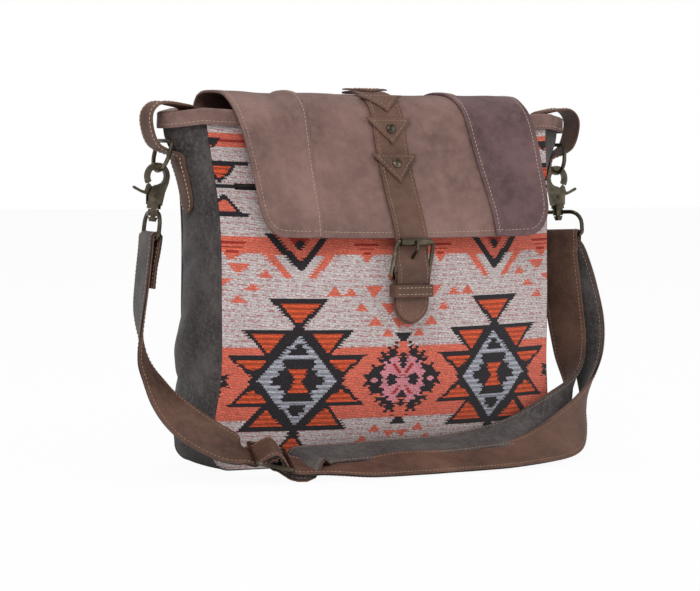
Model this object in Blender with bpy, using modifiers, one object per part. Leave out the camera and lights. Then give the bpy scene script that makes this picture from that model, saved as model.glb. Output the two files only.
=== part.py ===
"""Flap crossbody bag: woven front, canvas gusset, three-panel leather flap, buckled centre strap,
side D-rings with trigger hooks and an adjustable shoulder strap lying in front of the bag.

Metres, +Z up, front faces -Y. The origin is on the floor under the middle of the bag.
Run with: blender --background --python part.py
"""
import math

import bmesh
import bpy
from mathutils import Matrix, Vector

# Clearances
GAP = 0.0003
MM = 0.001

# Body of the bag
SEAM_HALF_WIDTH = 0.160
WAIST = 0.008
RIM_HEIGHT = 0.283
TIP_REACH = 0.0255
BACK_SEAM_Y = 0.041
PANEL_THICKNESS = 0.0022
GUSSET_THICKNESS = 0.0022
PANEL_BULGE = 0.026
BACK_BULGE = 0.003
CORNER_RADIUS = 0.016
GUSSET_BULGE = 0.009

# Rim binding
BINDING_HEIGHT = 0.013
BINDING_THICKNESS = 0.0013
BINDING_GROOVE = 0.0076

# Front zip pocket
ZIP_HEIGHT = 0.224
ZIP_HALF_LENGTH = 0.140
ZIP_SLOT_WIDTH = 0.0070
ZIP_TAPE_WIDTH = 0.016
ZIP_TAPE_THICKNESS = 0.0010
ZIP_TEETH_WIDTH = 0.0044
ZIP_TEETH_DEPTH = 0.0020

# Flap
FLAP_THICKNESS = 0.0020
FLAP_TOP_HALF_WIDTH = 0.142
FLAP_BOTTOM_HALF_WIDTH = 0.133
FLAP_CORNER_RADIUS = 0.020
SEAM_TOP_X = 0.067
SEAM_BOTTOM_X = 0.080
SEAM_OVERLAP = 0.008
HINGE_Y = 0.0465
HINGE_Z = 0.262

# Centre strap, patches and rivets
STRAP_THICKNESS = 0.0024
CENTRE_STRAP_WIDTH = 0.030
TONGUE_END_Z = 0.119
PATCH_THICKNESS = 0.0016
PATCH_HALF_WIDTH = 0.0212
RIVET_HEAD_RADIUS = 0.0042
RIVET_SHANK_RADIUS = 0.0015

# Buckle
BUCKLE_WIDTH = 0.0380
BUCKLE_WIRE = 0.0036
ROLLER_Z = 0.1835
ROLLER_RADIUS = 0.0033
ROLLER_WALL = 0.0011
PIVOT_BAR_Z = 0.1548
PRONG_WIRE = 0.0026
KEEPER_HEIGHT = 0.010
KEEPER_THICKNESS = 0.0016
SNAP_RADIUS = 0.0080
SNAP_Z = 0.1286

# Side tabs, rings and hooks
TAB_WIDTH = 0.024
TAB_THICKNESS = 0.0022
RING_WIRE = 0.0035
RING_INNER_WIDTH = 0.0254
RING_LENGTH = 0.028
RING_BAR_X = 0.1838
RING_BAR_Z = 0.2620
HOOK_THICKNESS = 0.0062
HOOK_EYE_HOLE = 0.0066
HOOK_EYE_WALL = 0.0044
HOOK_LENGTH = 0.0365
SHANK_RADIUS = 0.0020
KNOB_RADIUS = 0.0040
EYE_WIRE = 0.0035
EYE_INNER_WIDTH = 0.0405
EYE_DROP = 0.0200

# Shoulder strap
SHOULDER_STRAP_WIDTH = 0.038
SHOULDER_STRAP_THICKNESS = 0.0030
SLIDER_WIRE = 0.0032
SLIDER_HALF_LENGTH = 0.0150


def clear_scene():
    for old in list(bpy.data.objects):
        bpy.data.objects.remove(old, do_unlink=True)


def collection(name):
    made = bpy.data.collections.new(name)
    bpy.context.scene.collection.children.link(made)
    return made


def material(name, colour, roughness, metallic=0.0):
    made = bpy.data.materials.new(name)
    made.use_nodes = True
    shader = made.node_tree.nodes["Principled BSDF"]
    shader.inputs["Base Color"].default_value = (*colour, 1.0)
    shader.inputs["Roughness"].default_value = roughness
    shader.inputs["Metallic"].default_value = metallic
    made.diffuse_color = (*colour, 1.0)
    return made


def place(name, mesh, look, group, location=(0, 0, 0)):
    made = bpy.data.objects.new(name, mesh)
    made.location = location
    mesh.materials.clear()
    mesh.materials.append(look)
    group.objects.link(made)
    return made


def smooth(points, steps):
    """Catmull-Rom through the points, with this many steps between each pair."""
    found = []
    last = len(points) - 1
    for i in range(last):
        p0 = points[max(i - 1, 0)]
        p1, p2 = points[i], points[i + 1]
        p3 = points[min(i + 2, last)]
        for k in range(steps):
            t = k / steps
            found.append(0.5 * (2 * p1 + (p2 - p0) * t + (2 * p0 - 5 * p1 + 4 * p2 - p3) * t * t
                                + (3 * p1 - p0 - 3 * p2 + p3) * t ** 3))
    found.append(points[last])
    return found


def reading(table, at):
    """The value of a smooth curve through (place, value) pairs, clamped at its ends."""
    if at <= table[0][0]:
        return table[0][1]
    if at >= table[-1][0]:
        return table[-1][1]
    i = max(k for k in range(len(table) - 1) if table[k][0] <= at)
    x1, y1 = table[i]
    x2, y2 = table[i + 1]
    x0, y0 = table[max(i - 1, 0)]
    x3, y3 = table[min(i + 2, len(table) - 1)]
    run = x2 - x1
    m1 = (y2 - y0) / (x2 - x0) * run
    m2 = (y3 - y1) / (x3 - x1) * run
    t = (at - x1) / run
    a, b = 2 * t ** 3 - 3 * t ** 2 + 1, t ** 3 - 2 * t ** 2 + t
    c, d = -2 * t ** 3 + 3 * t ** 2, t ** 3 - t ** 2
    return a * y1 + b * m1 + c * y2 + d * m2


def loft(sections, ring_path=False):
    """A closed mesh through rings of equal count, capped at its ends unless the path is a ring."""
    bm = bmesh.new()
    rows = [[bm.verts.new(p) for p in section] for section in sections]
    count = len(rows[0])
    pairs = list(zip(rows, rows[1:]))
    if ring_path:
        pairs.append((rows[-1], rows[0]))
    for near, far in pairs:
        for i in range(count):
            j = (i + 1) % count
            bm.faces.new((near[i], near[j], far[j], far[i]))
    if not ring_path:
        bm.faces.new(list(reversed(rows[0])))
        bm.faces.new(rows[-1])
    bmesh.ops.recalc_face_normals(bm, faces=bm.faces)
    if bm.calc_volume(signed=True) < 0:
        bmesh.ops.reverse_faces(bm, faces=bm.faces)
    mesh = bpy.data.meshes.new("loft")
    bm.to_mesh(mesh)
    bm.free()
    return mesh


def sheet_between(front, back):
    """A closed sheet from two grids of points: its two faces and the edge all round."""
    rows, columns = len(front), len(front[0])
    bm = bmesh.new()
    a = [[bm.verts.new(p) for p in row] for row in front]
    b = [[bm.verts.new(p) for p in row] for row in back]
    for i in range(rows - 1):
        for j in range(columns - 1):
            bm.faces.new((a[i][j], a[i][j + 1], a[i + 1][j + 1], a[i + 1][j]))
            bm.faces.new((b[i][j], b[i + 1][j], b[i + 1][j + 1], b[i][j + 1]))
    for i in range(rows - 1):
        bm.faces.new((a[i][0], a[i + 1][0], b[i + 1][0], b[i][0]))
        bm.faces.new((a[i][-1], b[i][-1], b[i + 1][-1], a[i + 1][-1]))
    for j in range(columns - 1):
        bm.faces.new((a[0][j], b[0][j], b[0][j + 1], a[0][j + 1]))
        bm.faces.new((a[-1][j], a[-1][j + 1], b[-1][j + 1], b[-1][j]))
    bmesh.ops.recalc_face_normals(bm, faces=bm.faces)
    if bm.calc_volume(signed=True) < 0:
        bmesh.ops.reverse_faces(bm, faces=bm.faces)
    mesh = bpy.data.meshes.new("sheet")
    bm.to_mesh(mesh)
    bm.free()
    return mesh


def wire(path, radius, closed=False, radii=None, resolution=4):
    """A bent wire as a curve with a round bevel and filled caps, turned into a mesh."""
    curve = bpy.data.curves.new("wire", "CURVE")
    curve.dimensions = "3D"
    curve.bevel_depth = radius
    curve.bevel_resolution = resolution
    curve.use_fill_caps = True
    line = curve.splines.new("POLY")
    line.points.add(len(path) - 1)
    for i, (point, at) in enumerate(zip(line.points, path)):
        point.co = (*at, 1.0)
        point.radius = radii[i] if radii else 1.0
    line.use_cyclic_u = closed
    return evaluated_copy(curve)


def evaluated_copy(data):
    """The finished mesh of an object's data with its modifiers run."""
    holder = data if isinstance(data, bpy.types.Object) else bpy.data.objects.new("holder", data)
    linked = holder.name in bpy.context.scene.collection.all_objects
    if not linked:
        bpy.context.scene.collection.objects.link(holder)
    graph = bpy.context.evaluated_depsgraph_get()
    mesh = bpy.data.meshes.new_from_object(holder.evaluated_get(graph))
    bpy.data.objects.remove(holder, do_unlink=True)
    weld(mesh)
    return mesh


def weld(mesh):
    bm = bmesh.new()
    bm.from_mesh(mesh)
    bmesh.ops.remove_doubles(bm, verts=bm.verts, dist=1e-6)
    bmesh.ops.recalc_face_normals(bm, faces=bm.faces)
    if bm.calc_volume(signed=True) < 0:
        bmesh.ops.reverse_faces(bm, faces=bm.faces)
    bm.to_mesh(mesh)
    bm.free()


def boolean(mesh, other, operation):
    """The first mesh joined with, or cut by, the other."""
    body = bpy.data.objects.new("body", mesh)
    tool = bpy.data.objects.new("tool", other)
    for item in (body, tool):
        bpy.context.scene.collection.objects.link(item)
    step = body.modifiers.new("Boolean", "BOOLEAN")
    step.operation = operation
    step.solver = "EXACT"
    step.object = tool
    made = evaluated_copy(body)
    bpy.data.objects.remove(tool, do_unlink=True)
    return made


def join(first, *others):
    for other in others:
        first = boolean(first, other, "UNION")
    return first


def cut(first, *others):
    for other in others:
        first = boolean(first, other, "DIFFERENCE")
    return first


def box(centre, size):
    bm = bmesh.new()
    bmesh.ops.create_cube(bm, size=1.0)
    bmesh.ops.transform(bm, matrix=Matrix.Diagonal((*size, 1.0)), verts=bm.verts)
    bmesh.ops.translate(bm, vec=centre, verts=bm.verts)
    mesh = bpy.data.meshes.new("box")
    bm.to_mesh(mesh)
    bm.free()
    return mesh


def rod(centre, radius, length, axis, segments=24, tip_radius=None):
    """A cylinder or cone about its middle, along this axis."""
    bm = bmesh.new()
    end = radius if tip_radius is None else tip_radius
    bmesh.ops.create_cone(bm, cap_ends=True, segments=segments, radius1=radius, radius2=end,
                          depth=length)
    turn = Vector((0, 0, 1)).rotation_difference(Vector(axis)).to_matrix().to_4x4()
    bmesh.ops.transform(bm, matrix=Matrix.Translation(centre) @ turn, verts=bm.verts)
    mesh = bpy.data.meshes.new("rod")
    bm.to_mesh(mesh)
    bm.free()
    return mesh


def turned(profile, segments=24):
    """A profile of (radius, height) pairs turned about Z with the Screw modifier."""
    mesh = bpy.data.meshes.new("profile")
    points = [(r, 0.0, z) for r, z in profile]
    mesh.from_pydata(points, [(i, i + 1) for i in range(len(points) - 1)], [])
    body = bpy.data.objects.new("turned", mesh)
    bpy.context.scene.collection.objects.link(body)
    step = body.modifiers.new("Screw", "SCREW")
    step.steps = segments
    step.render_steps = segments
    step.use_merge_vertices = True
    step.merge_threshold = 0.00001
    step.use_normal_calculate = True
    return evaluated_copy(body)


def moved(mesh, matrix):
    mesh.transform(matrix)
    if matrix.determinant() < 0:
        mesh.flip_normals()
    return mesh


# The shape of the bag, as smooth curves over height. Each share is of the named dimension.
WAIST_SHARE = ((0.0, 0.35), (0.04, 0.5), (0.08, 1.0), (0.13, 1.0), (0.19, 0.95), (0.24, 0.5), (0.29, 0.0))
SEAM_Y = ((0.0, -0.029), (0.02, -0.031), (0.07, -0.036), (0.13, -0.036), (0.19, -0.033),
          (0.224, -0.0285), (0.25, -0.0225), (0.270, -0.0185), (0.29, -0.0175))
BULGE_SHARE = ((0.0, 0.15), (0.02, 0.5), (0.045, 0.76), (0.071, 0.87), (0.13, 0.89), (0.16, 0.97),
               (0.19, 0.90), (0.205, 0.68), (0.224, 0.44), (0.24, 0.28), (0.26, 0.10), (0.270, 0.02), (0.283, 0.0))
SIDE_BULGE_SHARE = ((0.0, 0.0), (0.016, 0.39), (0.04, 0.67), (0.08, 1.0), (0.13, 1.0), (0.18, 0.8),
                    (0.204, 0.5), (0.23, 0.2), (0.251, 0.0))
TIP_SHARE = ((0.17, 0.0), (0.204, 0.18), (0.23, 0.43), (0.251, 0.76), (0.262, 0.94), (0.270, 0.99), (0.283, 1.0))
TIP_PLACE = ((0.10, 0.50), (0.204, 0.44), (0.283, 0.38))
RIM_LIFT = 0.004


def seam_x(z):
    """Half the width of the bag at its front and back seams."""
    return SEAM_HALF_WIDTH - WAIST * reading(WAIST_SHARE, z)


def outline_x(z):
    """The same, with the rounded lower corners."""
    if z >= CORNER_RADIUS:
        return seam_x(z)
    drop = CORNER_RADIUS - z
    return seam_x(CORNER_RADIUS) - CORNER_RADIUS + math.sqrt(CORNER_RADIUS ** 2 - drop ** 2)


def rim_z(x):
    """The top edge of the cloth: a little higher at the seams than in the middle and at the tips."""
    reach = abs(x)
    if reach <= SEAM_HALF_WIDTH:
        return RIM_HEIGHT + RIM_LIFT * (reach / SEAM_HALF_WIDTH) ** 2
    return RIM_HEIGHT + RIM_LIFT * max(0.0, 1 - (reach - SEAM_HALF_WIDTH) / TIP_REACH)


def front_y(x, z):
    """The outer face of the front panel."""
    across = min(1.0, abs(x) / seam_x(z))
    return reading(SEAM_Y, z) - PANEL_BULGE * reading(BULGE_SHARE, z) * (1 - across ** 2)


def back_y(x, z):
    """The outer face of the back panel."""
    across = min(1.0, abs(x) / seam_x(z))
    return BACK_SEAM_Y + BACK_BULGE * math.sin(math.pi * min(1.0, z / RIM_HEIGHT)) * (1 - across ** 2)


def gusset_edges(z):
    """Where the gusset starts behind the front panel and ends at the back one."""
    edge = PANEL_THICKNESS + GAP
    return reading(SEAM_Y, z) + edge, BACK_SEAM_Y - edge


def gusset_reach(z):
    return GUSSET_BULGE * reading(SIDE_BULGE_SHARE, z) + TIP_REACH * reading(TIP_SHARE, z)


def gusset_form(across, z):
    """How far the gusset stands out at this share of its width, as a share of its reach."""
    peak = reading(TIP_PLACE, z)
    share = across / peak if across < peak else (1 - across) / (1 - peak)
    return math.sin(math.pi / 2 * share) ** 0.9 if share > 0 else 0.0


def gusset_x(y, z):
    """The outer face of the gusset on the +X side."""
    front, back = gusset_edges(z)
    across = min(1.0, max(0.0, (y - front) / (back - front)))
    return seam_x(z) + gusset_reach(z) * gusset_form(across, z)


TAB_Y = gusset_edges(RIM_HEIGHT)[0] + reading(TIP_PLACE, RIM_HEIGHT) * (
    gusset_edges(RIM_HEIGHT)[1] - gusset_edges(RIM_HEIGHT)[0])


def grid_normals(grid):
    """Unit normals of a grid of points, by central differences."""
    rows, columns = len(grid), len(grid[0])
    found = []
    for i in range(rows):
        line = []
        for j in range(columns):
            along = grid[min(i + 1, rows - 1)][j] - grid[max(i - 1, 0)][j]
            across = grid[i][min(j + 1, columns - 1)] - grid[i][max(j - 1, 0)]
            line.append(along.cross(across).normalized())
        found.append(line)
    return found


def offset_grid(grid, distance):
    normals = grid_normals(grid)
    return [[p + n * distance for p, n in zip(row, line)] for row, line in zip(grid, normals)]


def panel_heights(steps):
    """Heights of the rows, closer together round the lower corners."""
    corner = [CORNER_RADIUS * (1 - math.cos(math.pi / 2 * k / 4)) for k in range(4)]
    rest = [CORNER_RADIUS + (RIM_HEIGHT - CORNER_RADIUS) * k / steps for k in range(steps + 1)]
    return corner + rest


def panel_grid(face, shift, columns=16, steps=17):
    grid = []
    for z in panel_heights(steps):
        row = []
        for k in range(columns + 1):
            x = outline_x(z) * (2 * k / columns - 1)
            height = z / RIM_HEIGHT * rim_z(x) if z > CORNER_RADIUS else z
            row.append(Vector((x, face(x, z) + shift, height)))
        grid.append(row)
    return grid


def build_front_panel(group, look):
    front = panel_grid(front_y, 0.0)
    back = panel_grid(front_y, PANEL_THICKNESS)
    slot_depth = 0.06
    slot = box((0, front_y(0, ZIP_HEIGHT), ZIP_HEIGHT), (2 * ZIP_HALF_LENGTH, slot_depth, ZIP_SLOT_WIDTH))
    return place("front_panel", cut(sheet_between(front, back), slot), look, group)


def build_back_panel(group, look):
    back = panel_grid(back_y, 0.0, columns=10, steps=12)
    front = panel_grid(back_y, -PANEL_THICKNESS, columns=10, steps=12)
    return place("back_panel", sheet_between(back, front), look, group)


def gusset_row(x, z, normal_x, normal_z, reach, columns):
    """One row of the gusset's outer face, from the front seam to the back one."""
    front, back = gusset_edges(z)
    row = []
    for k in range(columns + 1):
        across = k / columns
        out = reach * gusset_form(across, z)
        height = z
        if z > CORNER_RADIUS:
            height = z / RIM_HEIGHT * rim_z(x + out)
        row.append(Vector((x + normal_x * out, front + across * (back - front), height + normal_z * out)))
    return row


def build_gusset(group, look):
    columns = 8
    half = []
    sides = 17
    for k in range(sides + 1):
        z = RIM_HEIGHT + (CORNER_RADIUS - RIM_HEIGHT) * k / sides
        half.append(gusset_row(seam_x(z), z, 1.0, 0.0, gusset_reach(z), columns))
    centre_x = seam_x(CORNER_RADIUS) - CORNER_RADIUS
    for k in range(1, 5):
        turn = math.pi / 2 * k / 4
        x = centre_x + CORNER_RADIUS * math.cos(turn)
        z = CORNER_RADIUS * (1 - math.sin(turn))
        reach = gusset_reach(CORNER_RADIUS) * max(0.0, math.cos(turn)) ** 1.5
        half.append(gusset_row(x, z, math.cos(turn), -math.sin(turn), reach, columns))
    for k in range(1, 5):
        half.append(gusset_row(centre_x * (1 - k / 4), 0.0, 0.0, -1.0, 0.0, columns))
    other = [[Vector((-p.x, p.y, p.z)) for p in row] for row in reversed(half[:-1])]
    outer = half + other
    inner = offset_grid(outer, -GUSSET_THICKNESS)
    middle = Vector((0, 0, RIM_HEIGHT / 2))
    if (inner[0][4] - middle).length > (outer[0][4] - middle).length:
        inner = offset_grid(outer, GUSSET_THICKNESS)
    return place("gusset", sheet_between(outer, inner), look, group)


def rim_path():
    """The middle of the cloth's top edge, all the way round."""
    half = PANEL_THICKNESS / 2
    corner = SEAM_HALF_WIDTH - 0.0015
    front, back = gusset_edges(RIM_HEIGHT)
    straight = [Vector((corner * (2 * k / 10 - 1), front_y(0, RIM_HEIGHT) + half, 0)) for k in range(11)]
    side = []
    for k in range(11):
        across = 0.04 + 0.92 * k / 10
        y = front + across * (back - front)
        side.append(Vector((gusset_x(y, RIM_HEIGHT) - half, y, 0)))
    rear = [Vector((-p.x, BACK_SEAM_Y - half, 0)) for p in straight]
    left = [Vector((-p.x, p.y, 0)) for p in reversed(side)]
    return straight + side + rear + left


def build_binding(group, look):
    path = rim_path()
    wall = BINDING_GROOVE / 2 + BINDING_THICKNESS
    top = GAP + BINDING_THICKNESS
    bottom = top - BINDING_HEIGHT
    soft = 0.0009
    inner = BINDING_GROOVE / 2
    profile = ((wall, bottom), (wall, top - soft), (wall - soft, top), (soft - wall, top), (-wall, top - soft),
               (-wall, bottom), (-inner, bottom), (-inner, GAP), (inner, GAP), (inner, bottom))
    sections = []
    count = len(path)
    for i, at in enumerate(path):
        along = (path[(i + 1) % count] - path[i - 1]).normalized()
        out = Vector((along.y, -along.x, 0))
        ahead = (path[(i + 1) % count] - at).normalized()
        # The profile keeps its width over a bend.
        stretch = 1 / max(0.75, out.dot(Vector((ahead.y, -ahead.x, 0))))
        edge = rim_z(at.x)
        sections.append([at + out * (o * stretch) + Vector((0, 0, edge + h)) for o, h in profile])
    return place("top_binding", loft(sections, ring_path=True), look, group)


ZIP_PULL_HEIGHT = 0.0029
ZIP_PULL_LEAN = math.radians(3.5)
ZIP_SAGITTA = front_y(ZIP_HALF_LENGTH, ZIP_HEIGHT) - front_y(0, ZIP_HEIGHT)
ZIP_RADIUS = (ZIP_HALF_LENGTH ** 2 + ZIP_SAGITTA ** 2) / (2 * ZIP_SAGITTA)
ZIP_CENTRE_Y = front_y(0, ZIP_HEIGHT) + ZIP_RADIUS
ZIP_SLIDER_ANGLE = math.asin((ZIP_HALF_LENGTH - 0.0075) / ZIP_RADIUS)


def zip_slope(x):
    """How far the front panel leans back for each step up, at the zip."""
    step = ZIP_TAPE_WIDTH / 2
    return (front_y(x, ZIP_HEIGHT + step) - front_y(x, ZIP_HEIGHT - step)) / (2 * step)


def zip_frame(angle, slope=None):
    """The place and the axes (along, up, out) at this turn round the zip's own arc."""
    at = Vector((ZIP_RADIUS * math.sin(angle), ZIP_CENTRE_Y - ZIP_RADIUS * math.cos(angle), ZIP_HEIGHT))
    along = Vector((math.cos(angle), math.sin(angle), 0))
    ahead = Vector((math.sin(angle), -math.cos(angle), 0))
    lean = zip_slope(at.x) if slope is None else slope
    up = (Vector((0, 0, 1)) - ahead * lean).normalized()
    out = up.cross(along)
    if out.dot(ahead) < 0:
        out = -out
    return at, along, up, out


def zip_matrix(angle):
    """The slider keeps the mean lean of the zip's middle and end."""
    mean = (zip_slope(0) + zip_slope(ZIP_HALF_LENGTH)) / 2
    at, along, up, out = zip_frame(angle, mean)
    return Matrix.Translation(at) @ Matrix((along, up, out)).transposed().to_4x4()


def build_zip(group, tape_look, metal_look):
    behind = -PANEL_THICKNESS - GAP
    tape_back = behind - ZIP_TAPE_THICKNESS
    wide = ZIP_TAPE_WIDTH / 2
    teeth = ZIP_TEETH_WIDTH / 2
    front = behind + ZIP_TEETH_DEPTH
    profile = ((-wide, tape_back), (wide, tape_back), (wide, behind), (teeth, behind), (teeth, front),
               (-teeth, front), (-teeth, behind), (-wide, behind))
    end = math.asin((ZIP_HALF_LENGTH - GAP) / ZIP_RADIUS)
    sections = []
    for k in range(25):
        at, _, up, out = zip_frame(-end + 2 * end * k / 24)
        sections.append([at + up * w + out * n for w, n in profile])
    place("zip_tape", loft(sections), tape_look, group)
    body_width = ZIP_SLOT_WIDTH - 2 * GAP
    plate_low = 0.0009
    top = plate_low + 0.0012
    foot = front + GAP
    plate = box((0, 0, (plate_low + top) / 2), (0.0095, ZIP_SLOT_WIDTH - 2 * GAP, top - plate_low))
    neck = box((0, 0, (foot + plate_low + 0.0003) / 2), (0.0080, 0.0034, plate_low + 0.0003 - foot))
    arch = [Vector((0.0034 * math.cos(a), 0, top - 0.0003 + 0.0023 * math.sin(a)))
            for a in [math.pi * k / 8 for k in range(9)]]
    bail = wire(arch, 0.0005, resolution=2)
    slider = join(plate, neck, bail)
    turn = zip_matrix(ZIP_SLIDER_ANGLE)
    place("zip_slider", moved(slider, turn), metal_look, group)
    bar_height = ZIP_PULL_HEIGHT
    bar = rod((0, 0, bar_height), 0.0005, 0.0050, (0, 1, 0), 10)
    arms = [box((-0.0030, side * 0.0022, bar_height), (0.0062, 0.0007, 0.0009)) for side in (-1, 1)]
    tag = box((-0.0130, 0, bar_height), (0.0150, 0.0051, 0.0009))
    pull = join(bar, *arms, tag)
    pivot = Matrix.Translation((0, 0, bar_height))
    lean = pivot @ Matrix.Rotation(ZIP_PULL_LEAN, 4, "Y") @ pivot.inverted()
    place("zip_pull", moved(pull, turn @ lean), metal_look, group)


# The flap's inner face from the hinge over the rim and down the front, as (y, z) in millimetres:
# along its middle, where the strap pulls it down, and along its side edges.
FLAP_MIDDLE = ((45.4, 263.5), (45.7, 276), (45.2, 288), (38, 296.5), (26, 299.5), (12, 300.2), (-2, 298.4),
               (-14, 293.6), (-22.8, 284), (-27.0, 272), (-31.5, 258), (-40.5, 238), (-52, 215.5),
               (-61, 200), (-67, 186))
FLAP_SIDE = ((45.4, 263.5), (45.8, 276), (45.6, 288), (40, 297.5), (28, 301), (10, 301.3), (-4, 299.5),
             (-16, 293.5), (-27, 285), (-36, 273.5), (-43, 262), (-50, 248), (-59, 230), (-66, 210),
             (-68.5, 188.5))
FLAP_STEPS = 2


def flap_line(across):
    """The flap's inner face as (y, z) points at this share of its half width."""
    share = min(1.0, abs(across)) ** 2
    mixed = [Vector((0, a[0] + (b[0] - a[0]) * share, a[1] + (b[1] - a[1]) * share)) * MM
             for a, b in zip(FLAP_MIDDLE, FLAP_SIDE)]
    return smooth(mixed, FLAP_STEPS)


FLAP_ROWS = len(flap_line(0))
FLAP_LENGTHS = [0.0]
for row in range(1, FLAP_ROWS):
    FLAP_LENGTHS.append(FLAP_LENGTHS[-1] + (flap_line(0)[row] - flap_line(0)[row - 1]).length)
FLAP_LENGTH = FLAP_LENGTHS[-1]


def flap_half_width(row):
    """Half the flap's width at this row, drawn in round the lower corners."""
    travel = FLAP_LENGTHS[row]
    half = FLAP_TOP_HALF_WIDTH + (FLAP_BOTTOM_HALF_WIDTH - FLAP_TOP_HALF_WIDTH) * travel / FLAP_LENGTH
    left = FLAP_LENGTH - travel
    if left >= FLAP_CORNER_RADIUS:
        return half
    return half - FLAP_CORNER_RADIUS + math.sqrt(max(0.0, FLAP_CORNER_RADIUS ** 2 - (FLAP_CORNER_RADIUS - left) ** 2))


def seam_place(row):
    return SEAM_TOP_X + (SEAM_BOTTOM_X - SEAM_TOP_X) * FLAP_LENGTHS[row] / FLAP_LENGTH


def flap_point(x, travel, height):
    """A point this far along the flap and this far above its inner face, with the face's normal."""
    line = flap_line(x / FLAP_TOP_HALF_WIDTH)
    row = max(k for k in range(FLAP_ROWS - 1) if FLAP_LENGTHS[k] <= travel + 1e-9)
    share = (travel - FLAP_LENGTHS[row]) / (FLAP_LENGTHS[row + 1] - FLAP_LENGTHS[row])
    at = line[row].lerp(line[row + 1], share)
    ends = []
    for k in (row, row + 1):
        run = line[min(k + 1, FLAP_ROWS - 1)] - line[max(k - 1, 0)]
        ends.append(Vector((0, run.z, -run.y)).normalized())
    normal = ends[0].lerp(ends[1], share).normalized()
    return Vector((x, at.y, at.z)) + normal * height, normal


def flap_sheet(columns_at, rows, low, high):
    """A closed sheet between two heights above the flap's inner face, over these columns of each row."""
    bottom, top = [], []
    for row in rows:
        travel = FLAP_LENGTHS[row]
        bottom.append([flap_point(x, travel, low(k))[0] for k, x in enumerate(columns_at(row))])
        top.append([flap_point(x, travel, high(k))[0] for k, x in enumerate(columns_at(row))])
    return sheet_between(top, bottom)


def build_flap(group, look):
    rows = range(FLAP_ROWS)
    centre = flap_sheet(lambda r: [(seam_place(r) + SEAM_OVERLAP) * k / 3 for k in range(-3, 4)], rows,
                        lambda k: 0.0, lambda k: FLAP_THICKNESS)
    made = [place("flap_centre", centre, look, group)]
    raised = FLAP_THICKNESS + GAP
    step = 0.0025
    for side, name in ((-1, "flap_left"), (1, "flap_right")):
        def columns_at(row, side=side):
            inner = seam_place(row)
            flat = inner + SEAM_OVERLAP + step
            outer = max(flap_half_width(row), flat + 0.004)
            places = [inner, inner + SEAM_OVERLAP * 0.5, inner + SEAM_OVERLAP + GAP, flat]
            places += [flat + (outer - flat) * k / 3 for k in range(1, 4)]
            return [side * x for x in places]
        low = lambda k: raised if k < 3 else 0.0
        high = lambda k: raised + FLAP_THICKNESS if k < 3 else FLAP_THICKNESS
        made.append(place(name, flap_sheet(columns_at, rows, low, high), look, group))
    return made


def build_seam_strip(group, look):
    """The part of the flap's leather that is sewn to the back panel, under the hinge line."""
    grid_out, grid_in = [], []
    for k in range(5):
        z = HINGE_Z - 0.0016 - 0.026 * (1 - k / 4)
        xs = [FLAP_TOP_HALF_WIDTH * i / 6 for i in range(-6, 7)]
        grid_in.append([Vector((x, back_y(x, z) + GAP, z)) for x in xs])
        grid_out.append([Vector((x, back_y(x, z) + GAP + FLAP_THICKNESS, z)) for x in xs])
    return place("flap_seam_strip", sheet_between(grid_out, grid_in), look, group)


STRAP_LOW = FLAP_THICKNESS + 2 * GAP
STRAP_HIGH = STRAP_LOW + STRAP_THICKNESS
PATCH_LOW = STRAP_HIGH + GAP
PATCH_HIGH = PATCH_LOW + PATCH_THICKNESS
PATCH_FRONT_Y = (12.5, -9.5, -24.2, -34.4)
PATCH_LENGTHS = (0.012, 0.017, 0.022, 0.026)
PATCH_WITH_RIVET = (False, False, True, True)


def travel_at(y, rising=False):
    """How far along the flap's middle its inner face comes to this y, in millimetres, past the top."""
    line = flap_line(0)
    for row in range(FLAP_ROWS - 1):
        a, b = line[row].y / MM, line[row + 1].y / MM
        if a >= y >= b and line[row].z > 0.2:
            share = (a - y) / (a - b) if a != b else 0.0
            return FLAP_LENGTHS[row] + share * (FLAP_LENGTHS[row + 1] - FLAP_LENGTHS[row])
    return FLAP_LENGTH


def rivet_cutter(travel, radius):
    at, normal = flap_point(0.0, travel, (STRAP_LOW + PATCH_HIGH) / 2)
    return rod(at, radius, 0.014, normal, 16)


def patch_travels():
    return [travel_at(y) for y in PATCH_FRONT_Y]


def rivet_travels():
    return [t + 0.009 for t, has in zip(patch_travels(), PATCH_WITH_RIVET) if has]


def build_patches(group, look):
    """Triangles with a flat edge up and a point down, laid over the strap one below the other."""
    made = []
    for index, (start, length) in enumerate(zip(patch_travels(), PATCH_LENGTHS)):
        bottom, top = [], []
        for k in range(7):
            travel = start + length * k / 6
            half = max(0.0012, PATCH_HALF_WIDTH * (1 - k / 6))
            xs = [half * i / 2 for i in range(-2, 3)]
            bottom.append([flap_point(x, travel, PATCH_LOW)[0] for x in xs])
            top.append([flap_point(x, travel, PATCH_HIGH)[0] for x in xs])
        mesh = sheet_between(top, bottom)
        if PATCH_WITH_RIVET[index]:
            mesh = cut(mesh, rivet_cutter(start + 0.009, RIVET_SHANK_RADIUS + GAP))
        made.append(place(f"triangle_patch_{index + 1}", mesh, look, group))
    return made


def build_rivets(group, look):
    made = []
    for index, travel in enumerate(rivet_travels()):
        at, normal = flap_point(0.0, travel, PATCH_HIGH + GAP)
        head = RIVET_HEAD_RADIUS
        depth = PATCH_THICKNESS + STRAP_THICKNESS * 0.6 + GAP
        profile = [(0.0, -depth), (RIVET_SHANK_RADIUS, -depth), (RIVET_SHANK_RADIUS, 0.0), (head, 0.0)]
        profile += [(head * math.cos(a), 0.0003 + 0.0016 * math.sin(a))
                    for a in [math.pi / 2 * k / 5 for k in range(6)]]
        profile[-1] = (0.0, profile[-1][1])
        turn = Vector((0, 0, 1)).rotation_difference(normal).to_matrix().to_4x4()
        mesh = moved(turned(profile, 20), Matrix.Translation(at) @ turn)
        made.append(place(f"patch_rivet_{index + 1}", mesh, look, group))
    return made


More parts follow.
